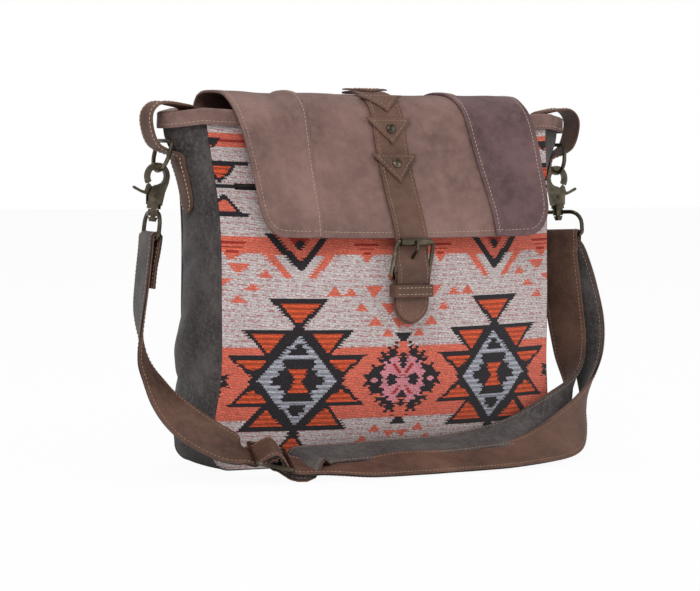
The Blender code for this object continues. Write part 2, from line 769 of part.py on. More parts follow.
# The buckle stands before the free end of the centre strap. These are its places along Y.
STRAP_FREE_Y = flap_point(0.0, FLAP_LENGTH, (STRAP_LOW + STRAP_HIGH) / 2)[0].y
ROLLER_Y = STRAP_FREE_Y - STRAP_THICKNESS / 2 - 0.0010 - ROLLER_RADIUS
PIVOT_BAR_Y = STRAP_FREE_Y + 0.0022
CHAPE_THICKNESS = 0.0020
CHAPE_MIDDLE = BUCKLE_WIRE / 2 + GAP + CHAPE_THICKNESS / 2
TONGUE_OVER_PIVOT = PIVOT_BAR_Y - BUCKLE_WIRE / 2 - PRONG_WIRE - 3 * GAP - STRAP_THICKNESS / 2


def rail_section(at, along, width, thickness):
    """A strap's section: its width lies along X, its thickness across the path in the YZ plane."""
    out = Vector((0, along.z, -along.y)).normalized()
    half, deep = width / 2, thickness / 2
    soft = min(0.0006, deep * 0.6)
    pairs = ((-half, -deep + soft), (-half, deep - soft), (-half + soft, deep), (half - soft, deep),
             (half, deep - soft), (half, -deep + soft), (half - soft, -deep), (-half + soft, -deep))
    return [at + Vector((x, 0, 0)) + out * n for x, n in pairs]


def rail(path, width, thickness, narrow=None):
    sections = []
    for i, at in enumerate(path):
        along = path[min(i + 1, len(path) - 1)] - path[max(i - 1, 0)]
        wide = width if narrow is None else min(width, narrow(i))
        sections.append(rail_section(at, along, wide, thickness))
    return loft(sections)


def rounded_tip(path, width):
    """The width at each point of a strap that ends in a half circle."""
    radius = width / 2
    left = [0.0]
    for a, b in zip(reversed(path[1:]), reversed(path[:-1])):
        left.append(left[-1] + (a - b).length)
    left.reverse()

    def at(i):
        if left[i] >= radius:
            return width
        return max(0.004, 2 * math.sqrt(max(0.0, radius ** 2 - (radius - left[i]) ** 2)))
    return at


def tongue_path():
    """The centre strap: along the flap's middle, behind the roller, over the pivot bar, to its end."""
    middle = (STRAP_LOW + STRAP_HIGH) / 2
    start = travel_at(PATCH_FRONT_Y[0]) - 0.012
    steps = 26
    last = FLAP_LENGTH - 0.001
    path = [flap_point(0.0, start + (last - start) * k / steps, middle)[0] for k in range(steps + 1)]
    y = TONGUE_OVER_PIVOT
    free = [path[-1], Vector((0, STRAP_FREE_Y, ROLLER_Z - 0.004)), Vector((0, STRAP_FREE_Y - 0.0006, 0.1700)),
            Vector((0, y, PIVOT_BAR_Z + 0.005)), Vector((0, y, PIVOT_BAR_Z - 0.001)),
            Vector((0, y + 0.0012, PIVOT_BAR_Z - 0.009)), Vector((0, y + 0.0018, 0.136)),
            Vector((0, y + 0.0018, 0.127)), Vector((0, y + 0.0018, TONGUE_END_Z + 0.006)),
            Vector((0, y + 0.0018, TONGUE_END_Z + 0.002)), Vector((0, y + 0.0018, TONGUE_END_Z))]
    return path + smooth(free, 2)[1:]


def build_centre_strap(group, look):
    path = tongue_path()
    strap = rail(path, CENTRE_STRAP_WIDTH, STRAP_THICKNESS, rounded_tip(path, CENTRE_STRAP_WIDTH))
    hole = box((0, STRAP_FREE_Y - 0.0010, 0.1700), (0.0050, 0.016, 0.0110))
    holes = [hole] + [rivet_cutter(travel, RIVET_SHANK_RADIUS + GAP) for travel in rivet_travels()]
    return place("centre_strap", cut(strap, *holes), look, group)


def buckle_corners():
    side = BUCKLE_WIDTH / 2 - BUCKLE_WIRE / 2
    top = Vector((0, ROLLER_Y, ROLLER_Z))
    foot = Vector((0, PIVOT_BAR_Y, PIVOT_BAR_Z))
    return side, top, foot


def build_buckle(group, look):
    side, top, foot = buckle_corners()
    bend = 0.0035
    down = (foot - top).normalized()
    path = []
    for corner, a, b in ((top + Vector((side, 0, 0)), Vector((-1, 0, 0)), down),
                         (foot + Vector((side, 0, 0)), -down, Vector((-1, 0, 0))),
                         (foot - Vector((side, 0, 0)), Vector((1, 0, 0)), -down),
                         (top - Vector((side, 0, 0)), down, Vector((1, 0, 0)))):
        for k in range(4):
            turn = math.pi / 2 * k / 3
            path.append(corner + bend * ((a + b) - a * math.sin(turn) - b * math.cos(turn)))
    frame = wire(path, BUCKLE_WIRE / 2, closed=True, resolution=3)
    place("buckle_frame", frame, look, group)
    inner = BUCKLE_WIRE / 2 + GAP
    length = 2 * (side - bend - GAP)
    outer = inner + ROLLER_WALL
    profile = [(inner, -length / 2), (outer, -length / 2), (outer, length / 2), (inner, length / 2),
               (inner, -length / 2)]
    turn = Matrix.Rotation(math.pi / 2, 4, "Y")
    place("buckle_roller", moved(turned(profile, 24), Matrix.Translation(top) @ turn), look, group)
    return outer


def build_prong(group, look, roller_outer):
    side, top, foot = buckle_corners()
    radius = PRONG_WIRE / 2
    loop = BUCKLE_WIRE / 2 + GAP + radius
    path = []
    for k in range(13):
        turn = math.radians(-35 - 270 * k / 12)
        path.append(foot + loop * Vector((0, math.cos(turn), math.sin(turn))))
    path.reverse()
    rest = top + Vector((0, -(roller_outer + GAP + radius), 0))
    start = foot + loop * Vector((0, math.cos(math.radians(-35)), math.sin(math.radians(-35))))
    rise = [foot + Vector((0, loop * 0.98, 0.0015)), Vector((0, STRAP_FREE_Y + 0.0028, 0.1640)),
            Vector((0, STRAP_FREE_Y - 0.0010, 0.1700)), rest + Vector((0, 0.0012, -0.0060)), rest,
            rest + Vector((0, 0.0002, 0.0022))]
    path = path + smooth(rise, 3)
    place("buckle_prong", wire(path, radius, resolution=3), look, group)


def build_base_strap(group, look):
    """The strap folded round the pivot bar: two layers down behind the tongue, sewn into one."""
    side, top, foot = buckle_corners()
    deep = CHAPE_THICKNESS
    loop = CHAPE_MIDDLE
    fold = [foot + loop * Vector((0, math.cos(math.radians(a)), math.sin(math.radians(a))))
            for a in range(-60, 241, 20)]
    back_y_at = PIVOT_BAR_Y + 0.0012
    down_back = [Vector((0, back_y_at, z)) for z in (PIVOT_BAR_Z - 0.0075, 0.142)]
    path = [Vector((0, back_y_at, 0.141)), Vector((0, back_y_at + 0.0002, PIVOT_BAR_Z - 0.0065))] + fold
    front_y_at = back_y_at - deep - GAP
    path += [Vector((0, front_y_at, PIVOT_BAR_Z - 0.0065)), Vector((0, front_y_at, 0.140)),
             Vector((0, front_y_at, 0.130)), Vector((0, front_y_at, TONGUE_END_Z + 0.004)),
             Vector((0, front_y_at, TONGUE_END_Z - 0.0010)), Vector((0, front_y_at, TONGUE_END_Z - 0.0022))]
    wide = 2 * (side - BUCKLE_WIRE / 2 - GAP)
    strap = rail(path, wide, deep, rounded_tip(path, wide))
    slot = box((0, PIVOT_BAR_Y, PIVOT_BAR_Z + 0.001), (PRONG_WIRE + 4 * GAP, 0.02, 0.0125))
    place("buckle_base_strap", cut(strap, slot), look, group)
    return front_y_at, back_y_at


def build_keeper(group, look, base_back):
    """A loop round the tongue and the base strap, just under the buckle."""
    z_top = PIVOT_BAR_Z - CHAPE_MIDDLE - CHAPE_THICKNESS - 0.0006
    front = TONGUE_OVER_PIVOT - STRAP_THICKNESS / 2 - GAP - 0.0004
    back = base_back + CHAPE_THICKNESS / 2 + GAP + 0.0003
    inner_x = CENTRE_STRAP_WIDTH / 2 + 0.0009
    half_y = (back - front) / 2
    middle_y = (back + front) / 2
    sections = []
    for x, y in rounded_rectangle(inner_x, half_y, 0.0012):
        scale_x = (inner_x + KEEPER_THICKNESS) / inner_x
        scale_y = (half_y + KEEPER_THICKNESS) / half_y
        low, high = z_top - KEEPER_HEIGHT, z_top
        sections.append([Vector((x, middle_y + y, low)), Vector((x, middle_y + y, high)),
                         Vector((x * scale_x, middle_y + y * scale_y, high)),
                         Vector((x * scale_x, middle_y + y * scale_y, low))])
    place("buckle_keeper", loft(sections, ring_path=True), look, group)


def rounded_rectangle(half_x, half_y, radius, steps=3):
    points = []
    for sx, sy, start in ((1, 1, 0), (-1, 1, 90), (-1, -1, 180), (1, -1, 270)):
        for k in range(steps + 1):
            turn = math.radians(start + 90 * k / steps)
            points.append((sx * (half_x - radius) + radius * math.cos(turn),
                           sy * (half_y - radius) + radius * math.sin(turn)))
    return points


def build_snap(group, look, base_back):
    """The magnetic snap: its male half on the base strap, its socket on the front panel."""
    back = base_back - CHAPE_THICKNESS / 2 - GAP + 2 * (CHAPE_THICKNESS / 2 + GAP) + 0.0
    strap_face = base_back - CHAPE_THICKNESS - GAP + CHAPE_THICKNESS / 2 + GAP
    panel_face = front_y(0, SNAP_Z) - 0.0008
    middle = strap_face + (panel_face - strap_face) * 0.45
    for name, near, far in (("snap_male", strap_face, middle - GAP / 2), ("snap_socket", middle + GAP / 2, panel_face)):
        disc = rod((0, (near + far) / 2, SNAP_Z), SNAP_RADIUS, far - near, (0, 1, 0), 32)
        place(name, disc, look, group)


# Where each side's ring, hook and eye stand. The angles lean the ring outwards, lean the hook
# outwards and turn the eye about the hook's own length.
SIDES = {
    "left": {"sign": -1, "ring_lean": math.radians(15), "hook_lean": math.radians(6), "eye_turn": math.radians(8)},
    "right": {"sign": 1, "ring_lean": math.radians(3), "hook_lean": math.radians(5), "eye_turn": math.radians(32)},
}


def side_matrix(sign):
    """Carries the +X side's shape to its own side."""
    return Matrix.Diagonal((sign, 1, 1, 1))


def tab_path():
    """The tab's middle, as (x, z, clings): from inside, over the rim, through the ring, down the gusset."""
    tip = gusset_x(TAB_Y, RIM_HEIGHT)
    wall = BINDING_GROOVE / 2 + BINDING_THICKNESS + GAP + TAB_THICKNESS / 2 + 0.0082
    middle = tip - GUSSET_THICKNESS / 2
    over = rim_z(tip) + GAP + BINDING_THICKNESS + GAP + TAB_THICKNESS / 2 + 0.0052
    loop = RING_BAR_X + RING_WIRE
    face = GAP + TAB_THICKNESS / 2 + 0.0002
    path = [(middle - wall, RIM_HEIGHT - 0.014, 1), (middle - wall, RIM_HEIGHT - 0.006, 1),
            (middle - wall, RIM_HEIGHT - 0.001, 1), (middle - wall + 0.0010, over - 0.0030, 1),
            (middle - 0.0025, over, 0.8), (middle + 0.004, over + 0.0012, 0), (middle + 0.0105, over - 0.0004, 0),
            (middle + 0.0155, over - 0.0060, 0), (middle + 0.0165, over - 0.0140, 0),
            (middle + 0.0140, RING_BAR_Z + 0.0045, 0), (loop + 0.0062, RING_BAR_Z - 0.0030, 0),
            (loop - 0.0005, RING_BAR_Z - 0.0072, 0.25)]
    for k in range(7):
        z = RING_BAR_Z - 0.0115 - 0.0465 * k / 6
        path.append((gusset_x(TAB_Y, z) + face, z, 1))
    return path


def build_tab(name, sign, group, look):
    path = [Vector(p) for p in tab_path()]
    path = smooth(path, 2)
    sections = []
    last = len(path) - 1
    for i, at in enumerate(path):
        run = path[min(i + 1, last)] - path[max(i - 1, 0)]
        out = Vector((-run.y, run.x)).normalized()
        left = sum((path[k + 1] - path[k]).xy.length for k in range(i, last))
        half = TAB_WIDTH / 2
        if left < half:
            half = max(0.003, math.sqrt(max(0.0, half ** 2 - (half - left) ** 2)))
        cling = min(1.0, max(0.0, at.z))
        level = min(at.y, RIM_HEIGHT)
        ring = []
        ys = [TAB_Y + half * k / 4 for k in range(-4, 5)]
        for face in (1, -1):
            for y in (ys if face > 0 else reversed(ys)):
                x = at.x + cling * (gusset_x(y, level) - gusset_x(TAB_Y, level))
                shift = out * (face * TAB_THICKNESS / 2)
                ring.append(Vector((sign * (x + shift.x), y, at.y + shift.y)))
        sections.append(ring)
    mesh = loft(sections)
    return place(name, mesh, look, group)


def ring_frame(side):
    """The +X side's ring bar centre and the direction in which the ring hangs from it."""
    bar = Vector((RING_BAR_X, TAB_Y, RING_BAR_Z))
    lean = side["ring_lean"]
    return bar, Vector((math.sin(lean), 0, -math.cos(lean)))


RING_DROP = RING_LENGTH - RING_WIRE


def build_ring(name, side, group, look):
    bar, down = ring_frame(side)
    half = RING_INNER_WIDTH / 2 + RING_WIRE / 2
    across = Vector((0, 1, 0))
    bend = 0.003
    path = [bar + across * (half - bend), bar + across * half + down * bend]
    path += [bar + across * half * math.cos(a) + down * (RING_DROP - half + half * math.sin(a))
             for a in [math.pi * k / 14 for k in range(15)]]
    path += [bar - across * half + down * bend, bar - across * (half - bend)]
    mesh = moved(wire(path, RING_WIRE / 2, closed=True, resolution=3), side_matrix(side["sign"]))
    return place(name, mesh, look, group)


def hook_frame(side):
    """The +X side's hook: the middle of the ring's lowest wire, and the hook's long and outer axes."""
    bar, down = ring_frame(side)
    top = bar + down * RING_DROP
    lean = side["hook_lean"]
    along = Vector((math.sin(lean), 0, -math.cos(lean)))
    outer = Vector((math.cos(lean), 0, math.sin(lean)))
    return top, along, outer


def hook_matrix(side):
    """Carries hook axes (outer, -Y depth, up) to the +X side's place; its origin is the ring's wire."""
    top, along, outer = hook_frame(side)
    turn = Matrix((outer, Vector((0, 1, 0)), -along)).transposed().to_4x4()
    return Matrix.Translation(top) @ turn


CLAW_CENTRE = -(HOOK_EYE_HOLE - RING_WIRE / 2 - GAP)
PIN_HEIGHT = CLAW_CENTRE - HOOK_EYE_HOLE - 0.0088
BODY_END = PIN_HEIGHT - 0.0075
COLLAR_HEIGHT = 0.0030
SHANK_END = BODY_END - COLLAR_HEIGHT
EYE_BOSS = 0.0055
KNOB_HEIGHT = 0.0035


def plate(outline, thickness):
    """A flat outline in the XZ plane made a plate, from -thickness/2 to thickness/2 along Y."""
    front = [Vector((x, -thickness / 2, z)) for x, z in outline]
    back = [Vector((x, thickness / 2, z)) for x, z in outline]
    return loft([front, back])


def build_hook(name, side, group, look):
    outer_radius = HOOK_EYE_HOLE + HOOK_EYE_WALL
    claw = []
    first, last = math.radians(-38), math.radians(258)
    for k in range(25):
        a = first + (last - first) * k / 24
        claw.append((outer_radius * 0.94 * math.cos(a), CLAW_CENTRE + outer_radius * math.sin(a)))
    inner = []
    for k in range(25):
        a = last + (first - last) * k / 24
        inner.append((HOOK_EYE_HOLE * math.cos(a), CLAW_CENTRE + HOOK_EYE_HOLE * math.sin(a)))
    ring = plate(claw + inner, HOOK_THICKNESS * 0.72)
    body = [(-0.0098, CLAW_CENTRE - 0.0035), (-0.0060, CLAW_CENTRE - HOOK_EYE_HOLE * 0.80),
            (0.0, CLAW_CENTRE - HOOK_EYE_HOLE - 0.0004), (0.0044, CLAW_CENTRE - HOOK_EYE_HOLE - 0.0030),
            (0.0066, PIN_HEIGHT + 0.0010), (0.0058, BODY_END), (-0.0058, BODY_END),
            (-0.0072, PIN_HEIGHT + 0.0030)]
    block = plate(body, HOOK_THICKNESS)
    collar = rod((0, 0, BODY_END - COLLAR_HEIGHT / 2 + 0.0004), 0.0056, COLLAR_HEIGHT + 0.0008, (0, 0, 1), 24)
    shank_length = EYE_BOSS + 4 * GAP
    shank = rod((0, 0, SHANK_END - shank_length / 2), SHANK_RADIUS, shank_length + 0.002, (0, 0, 1), 20)
    knob_top = SHANK_END - shank_length
    knob = rod((0, 0, knob_top - KNOB_HEIGHT / 2), KNOB_RADIUS * 0.7, KNOB_HEIGHT, (0, 0, 1), 20, KNOB_RADIUS)
    hook = join(block, ring, collar, shank, knob)
    slot_width = HOOK_THICKNESS * 0.46
    slot = box((0.0066, 0, PIN_HEIGHT + 0.0030), (0.0202, slot_width, 0.0160))
    pin_hole = rod((0, 0, PIN_HEIGHT), 0.0014 + GAP, 0.02, (0, 1, 0), 16)
    hook = cut(hook, slot, pin_hole)
    turn = side_matrix(side["sign"]) @ hook_matrix(side)
    return place(name, moved(hook, turn), look, group)


def build_trigger(name, side, group, look):
    """The spring gate: a thumb lever and an arm that closes the claw, turning on the pin."""
    thick = HOOK_THICKNESS * 0.46 - 2 * GAP
    top_z = CLAW_CENTRE + (HOOK_EYE_HOLE + HOOK_EYE_WALL / 2) * math.sin(math.radians(-38)) - 0.0004
    outline = [(0.0012, PIN_HEIGHT - 0.0026), (0.0050, PIN_HEIGHT - 0.0004), (0.0120, PIN_HEIGHT + 0.0012),
               (0.0185, PIN_HEIGHT + 0.0036), (0.0200, PIN_HEIGHT + 0.0048), (0.0190, PIN_HEIGHT + 0.0060),
               (0.0125, PIN_HEIGHT + 0.0034), (0.0090, PIN_HEIGHT + 0.0032), (0.0080, top_z - 0.0016),
               (0.0060, top_z - 0.0003), (0.0034, top_z - 0.0030), (-0.0014, PIN_HEIGHT + 0.0024),
               (-0.0018, PIN_HEIGHT - 0.0010)]
    arm = plate(outline, thick)
    arm = cut(arm, rod((0, 0, PIN_HEIGHT), 0.0014 + GAP, 0.02, (0, 1, 0), 16))
    turn = side_matrix(side["sign"]) @ hook_matrix(side)
    return place(name, moved(arm, turn), look, group)


def build_pin(name, side, group, look):
    rivet = rod((0, 0, PIN_HEIGHT), 0.0014, HOOK_THICKNESS + 0.0014, (0, 1, 0), 16)
    turn = side_matrix(side["sign"]) @ hook_matrix(side)
    return place(name, moved(rivet, turn), look, group)


def eye_points(side):
    """The eye's wire on the +X side, in hook axes turned by the eye's own turn."""
    half = EYE_INNER_WIDTH / 2 + EYE_WIRE / 2
    top = SHANK_END - GAP - EYE_BOSS / 2
    bottom = top - EYE_DROP
    bend = 0.0105
    path = [(0.0, top)]
    for k in range(6):
        a = math.pi / 2 * (1 - k / 5)
        path.append((half - bend + bend * math.cos(a), top - bend + bend * math.sin(a)))
    small = 0.004
    for k in range(4):
        a = -math.pi / 2 * k / 3
        path.append((half - small + small * math.cos(a), bottom + small + small * math.sin(a)))
    path += [(-y, z) for y, z in reversed(path[1:])]
    return [Vector((0, y, z)) for y, z in path], bottom


def build_eye(name, side, group, look):
    path, _ = eye_points(side)
    ring = wire(path, EYE_WIRE / 2, closed=True, resolution=3)
    boss_z = SHANK_END - GAP - EYE_BOSS / 2
    boss = rod((0, 0, boss_z), 0.0044, EYE_BOSS, (0, 0, 1), 24)
    eye = join(boss, ring)
    eye = cut(eye, rod((0, 0, boss_z), SHANK_RADIUS + GAP, 0.02, (0, 0, 1), 20))
    spin = Matrix.Rotation(side["eye_turn"], 4, "Z")
    turn = side_matrix(side["sign"]) @ hook_matrix(side) @ spin
    return place(name, moved(eye, turn), look, group)


# The shoulder strap's route, chosen by hand where it hangs and lies free: places in millimetres,
# then the direction of the strap's width. It goes from the left eye to the slider on the floor.
LEFT_DROP = (((-204, 2, 152), (0.15, 0.99, 0.0)), ((-208, -3, 128), (0.18, 0.98, 0.0)),
             ((-210, -9, 106), (0.34, 0.94, 0.05)), ((-210, -18, 88), (0.62, 0.78, 0.12)),
             ((-209, -30, 73), (0.80, 0.52, 0.30)), ((-206, -44, 58), (0.80, 0.36, 0.48)),
             ((-198, -59, 44), (0.72, 0.34, 0.60)), ((-184, -73, 33), (0.62, 0.44, 0.65)),
             ((-166, -84, 24), (0.52, 0.62, 0.58)))
# From the slider along the floor and up to the right eye: the layer on top, then the one behind it.
OUTER_RUN = (((-98, -97, 9), (0.14, 0.97, 0.16)), ((-82, -98, 7), (0.10, 0.98, 0.12)),
             ((-55, -100, 5), (0.0, 0.99, 0.12)), ((-20, -99, 6), (0.0, 0.98, 0.16)),
             ((25, -98, 6), (0.0, 0.98, 0.18)), ((70, -95, 7), (-0.10, 0.97, 0.20)),
             ((112, -86, 10), (-0.20, 0.94, 0.30)), ((147, -70, 17), (-0.34, 0.84, 0.42)),
             ((176, -49, 32), (-0.48, 0.78, 0.36)), ((196, -30, 53), (-0.50, 0.84, 0.16)),
             ((207, -16, 78), (-0.46, 0.88, 0.04)), ((212, -6, 108), (-0.44, 0.90, 0.0)),
             ((206, 0, 142), (-0.46, 0.89, 0.0)), ((198, 3.5, 166), (-0.50, 0.87, 0.0)))
INNER_RUN = (((-100, -84, 14), (0.20, 0.92, 0.34)), ((-84, -72, 16), (0.12, 0.90, 0.42)),
             ((-55, -67, 14), (0.0, 0.91, 0.40)), ((-15, -68, 13), (0.0, 0.92, 0.38)),
             ((30, -67, 14), (0.0, 0.91, 0.40)), ((75, -65, 15), (-0.08, 0.90, 0.42)),
             ((112, -66, 17), (-0.20, 0.87, 0.46)), ((148, -64, 26), (-0.36, 0.82, 0.44)),
             ((177, -46, 42), (-0.48, 0.82, 0.30)), ((190, -29, 62), (-0.50, 0.85, 0.16)),
             ((194, -14, 84), (-0.46, 0.88, 0.04)), ((193, -5, 112), (-0.44, 0.90, 0.0)),
             ((190, 0, 142), (-0.46, 0.89, 0.0)), ((187.5, 2.5, 166), (-0.50, 0.87, 0.0)))
SLIDER_AT = Vector((-136, -93, 19.0)) * MM
SLIDER_ALONG = Vector((0.93, -0.20, -0.20)).normalized()
SLIDER_WIDTH = Vector((0.26, 0.92, 0.25))


def stations(run):
    return [(Vector(at) * MM, Vector(width).normalized()) for at, width in run]


def eye_bar(side):
    """The middle of the eye's lower bar, its direction, and the outward direction across it."""
    _, bottom = eye_points(side)
    spin = Matrix.Rotation(side["eye_turn"], 4, "Z")
    turn = side_matrix(side["sign"]) @ hook_matrix(side) @ spin
    middle = turn @ Vector((0, 0, bottom))
    along = (turn @ Vector((0, 1, bottom)) - middle).normalized()
    down = (turn @ Vector((0, 0, bottom - 1)) - middle).normalized()
    out = along.cross(down)
    if out.x * side["sign"] < 0:
        out = -out
    return middle, along, down, out


def eye_loop(side, start, end):
    """Strap stations round the eye's lower bar, from one turn angle to another, in degrees."""
    middle, along, down, out = eye_bar(side)
    radius = EYE_WIRE / 2 + GAP + SHOULDER_STRAP_THICKNESS / 2
    found = []
    steps = 7
    for k in range(steps + 1):
        a = math.radians(start + (end - start) * k / steps)
        found.append((middle + radius * (out * math.cos(a) - down * math.sin(a)), along))
    return found


def slider_axes():
    along = SLIDER_ALONG
    width = (SLIDER_WIDTH - along * SLIDER_WIDTH.dot(along)).normalized()
    out = width.cross(along)
    if out.y > 0:
        out = -out
    return along, width, out


def slider_point(u, n):
    along, width, out = slider_axes()
    return SLIDER_AT + along * u * MM + out * n * MM, width


def strap_stations():
    """The whole strap in one run: left end, left eye, slider, right eye, and back to the slider's bar."""
    left, right = SIDES["left"], SIDES["right"]
    middle, along, down, out = eye_bar(left)
    spaced = EYE_WIRE / 2 + GAP + SHOULDER_STRAP_THICKNESS / 2
    layers = SHOULDER_STRAP_THICKNESS / 2 + GAP
    route = [(middle + down * 0.0400 - out * (layers + 0.0003), along),
             (middle + down * 0.0240 - out * (layers + 0.0003), along),
             (middle + down * 0.0100 - out * (layers + 0.0014), along)]
    route += eye_loop(left, 180, 0)
    route += [(middle + down * 0.0100 + out * (layers + 0.0014), along)]
    route += stations(LEFT_DROP)
    over = 7.6
    route += [slider_point(-21, -3.6), slider_point(-15, -3.7), slider_point(-9.5, 0.4), slider_point(-5, 5.0),
              slider_point(0, over), slider_point(5, 5.0), slider_point(9.5, 0.4), slider_point(15, -3.7),
              slider_point(21, -3.8)]
    route += stations(OUTER_RUN)
    middle, along, down, out = eye_bar(right)
    facing = along if along.dot(Vector(OUTER_RUN[-1][1])) > 0 else -along
    route += [(middle + down * 0.0100 + out * (layers + 0.0014), facing)]
    route += [(at, facing) for at, _ in eye_loop(right, 0, 180)]
    route += [(middle + down * 0.0100 - out * (layers + 0.0014), facing)]
    route += stations(tuple(reversed(INNER_RUN)))
    route += [slider_point(24, -7.7), slider_point(14, -7.5), slider_point(4, -3.9), slider_point(0, -3.5),
              slider_point(-3.0, -1.9), slider_point(-3.4, 0.6), slider_point(-1.8, 2.9),
              slider_point(1.6, 2.9)]
    return route


def ribbon(route, width, thickness, steps=3):
    """A flat strap along stations, its width held square to its route."""
    points = smooth([at for at, _ in route], steps)
    widths = smooth([across for _, across in route], steps)
    sections = []
    last = len(points) - 1
    half, deep = width / 2, thickness / 2
    soft = 0.0007
    for i, at in enumerate(points):
        run = (points[min(i + 1, last)] - points[max(i - 1, 0)]).normalized()
        across = (widths[i] - run * widths[i].dot(run)).normalized()
        face = run.cross(across)
        wide = half
        pairs = ((-wide, -deep + soft), (-wide, deep - soft), (-wide + soft, deep), (wide - soft, deep),
                 (wide, deep - soft), (wide, -deep + soft), (wide - soft, -deep), (-wide + soft, -deep))
        sections.append([at + across * w + face * n for w, n in pairs])
    return loft(sections)


def build_shoulder_strap(group, look):
    mesh = ribbon(strap_stations(), SHOULDER_STRAP_WIDTH, SHOULDER_STRAP_THICKNESS)
    return place("shoulder_strap", mesh, look, group)


def build_strap_slider(group, look):
    """The adjuster: a flat ring with a bar across its middle."""
    along, width, out = slider_axes()
    half_w = (SHOULDER_STRAP_WIDTH + SLIDER_WIRE) / 2 + 0.0012
    half_u = SLIDER_HALF_LENGTH
    bend = 0.0035
    path = [SLIDER_AT + along * u + width * w for u, w in rounded_rectangle(half_u, half_w, bend)]
    ring = wire(path, SLIDER_WIRE / 2, closed=True, resolution=3)
    bar = wire([SLIDER_AT - width * half_w, SLIDER_AT + width * half_w], SLIDER_WIRE / 2 * 0.95, resolution=3)
    return place("strap_slider", join(ring, bar), look, group)


def hang(names, point):
    """Moves the origin of these pieces onto their joint's axis, and leaves their shape where it is."""
    for name in names:
        obj = bpy.data.objects[name]
        obj.data.transform(Matrix.Translation(-point))
        obj.location = point


def hang_moving_pieces():
    hang(FLAP_PIECES, Vector((0, HINGE_Y, HINGE_Z)))
    hang(("buckle_roller",), buckle_corners()[1])
    hang(("zip_slider",), Vector((0, ZIP_CENTRE_Y, ZIP_HEIGHT)))
    hang(("zip_pull",), zip_matrix(ZIP_SLIDER_ANGLE) @ Vector((0, 0, ZIP_PULL_HEIGHT)))
    for name, side in SIDES.items():
        half = side_matrix(side["sign"])
        hang((f"d_ring_{name}",), half @ ring_frame(side)[0])
        hang((f"hook_body_{name}",), half @ hook_frame(side)[0])
        hook = half @ hook_matrix(side)
        hang((f"hook_trigger_{name}", f"hook_pin_{name}"), hook @ Vector((0, 0, PIN_HEIGHT)))
        hang((f"swivel_eye_{name}",), hook @ Vector((0, 0, SHANK_END)))


FLAP_PIECES = ("flap_left", "flap_centre", "flap_right", "centre_strap", "triangle_patch_1", "triangle_patch_2",
               "triangle_patch_3", "triangle_patch_4", "patch_rivet_1", "patch_rivet_2", "buckle_frame",
               "buckle_prong", "buckle_base_strap", "buckle_keeper", "snap_male")


def main():
    clear_scene()
    group = collection("flap_crossbody_bag")
    weave = material("woven_cotton", (0.62, 0.42, 0.36), 0.92)
    canvas = material("washed_canvas", (0.060, 0.060, 0.056), 0.95)
    flap_leather = material("flap_leather", (0.245, 0.150, 0.130), 0.55)
    strap_leather = material("strap_leather", (0.150, 0.075, 0.055), 0.55)
    brass = material("antique_brass", (0.150, 0.125, 0.080), 0.38, 1.0)
    dark_cloth = material("zip_cloth", (0.030, 0.026, 0.026), 0.85)
    build_front_panel(group, weave)
    build_back_panel(group, canvas)
    build_gusset(group, canvas)
    build_binding(group, flap_leather)
    build_zip(group, dark_cloth, brass)
    build_seam_strip(group, flap_leather)
    build_flap(group, flap_leather)
    build_patches(group, strap_leather)
    build_rivets(group, brass)
    build_centre_strap(group, strap_leather)
    roller_outer = build_buckle(group, brass)
    build_prong(group, brass, roller_outer)
    _, base_back = build_base_strap(group, strap_leather)
    build_keeper(group, strap_leather, base_back)
    build_snap(group, brass, base_back)
    for name, side in SIDES.items():
        build_tab(f"tab_{name}", side["sign"], group, strap_leather)
        build_ring(f"d_ring_{name}", side, group, brass)
        build_hook(f"hook_body_{name}", side, group, brass)
        build_trigger(f"hook_trigger_{name}", side, group, brass)
        build_pin(f"hook_pin_{name}", side, group, brass)
        build_eye(f"swivel_eye_{name}", side, group, brass)
    build_shoulder_strap(group, strap_leather)
    build_strap_slider(group, brass)
    hang_moving_pieces()


main()
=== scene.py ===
"""Looks of the flap crossbody bag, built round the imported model. Metres, +Z up, front faces -Y."""
import functools
import math
import random

import bmesh
import bpy
import numpy as np
from mathutils import Matrix, Vector, noise


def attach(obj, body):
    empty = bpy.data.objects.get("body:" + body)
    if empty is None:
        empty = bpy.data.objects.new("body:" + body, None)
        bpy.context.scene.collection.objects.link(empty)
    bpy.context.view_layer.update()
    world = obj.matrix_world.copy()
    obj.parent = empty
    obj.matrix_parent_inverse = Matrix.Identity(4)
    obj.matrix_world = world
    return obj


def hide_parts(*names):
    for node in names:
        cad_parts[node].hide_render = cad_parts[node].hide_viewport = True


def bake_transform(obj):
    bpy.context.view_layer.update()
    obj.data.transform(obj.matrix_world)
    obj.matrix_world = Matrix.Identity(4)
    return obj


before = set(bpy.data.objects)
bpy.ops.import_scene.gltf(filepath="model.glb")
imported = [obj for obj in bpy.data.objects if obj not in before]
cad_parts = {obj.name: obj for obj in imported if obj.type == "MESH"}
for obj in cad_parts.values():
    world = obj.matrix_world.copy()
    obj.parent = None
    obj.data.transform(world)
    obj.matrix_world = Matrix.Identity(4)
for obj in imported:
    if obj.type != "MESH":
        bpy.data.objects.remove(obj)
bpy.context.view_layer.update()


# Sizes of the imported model, in metres
GAP = 0.0003
MM = 0.001
SEAM_HALF_WIDTH = 0.160
WAIST = 0.008
RIM_HEIGHT = 0.283
TIP_REACH = 0.0255
BACK_SEAM_Y = 0.041
PANEL_THICKNESS = 0.0022
GUSSET_THICKNESS = 0.0022
PANEL_BULGE = 0.026
BACK_BULGE = 0.003
CORNER_RADIUS = 0.016
GUSSET_BULGE = 0.009
BINDING_HEIGHT = 0.013
BINDING_THICKNESS = 0.0013
BINDING_GROOVE = 0.0076
ZIP_HEIGHT = 0.224
ZIP_HALF_LENGTH = 0.140
FLAP_THICKNESS = 0.0020
FLAP_TOP_HALF_WIDTH = 0.142
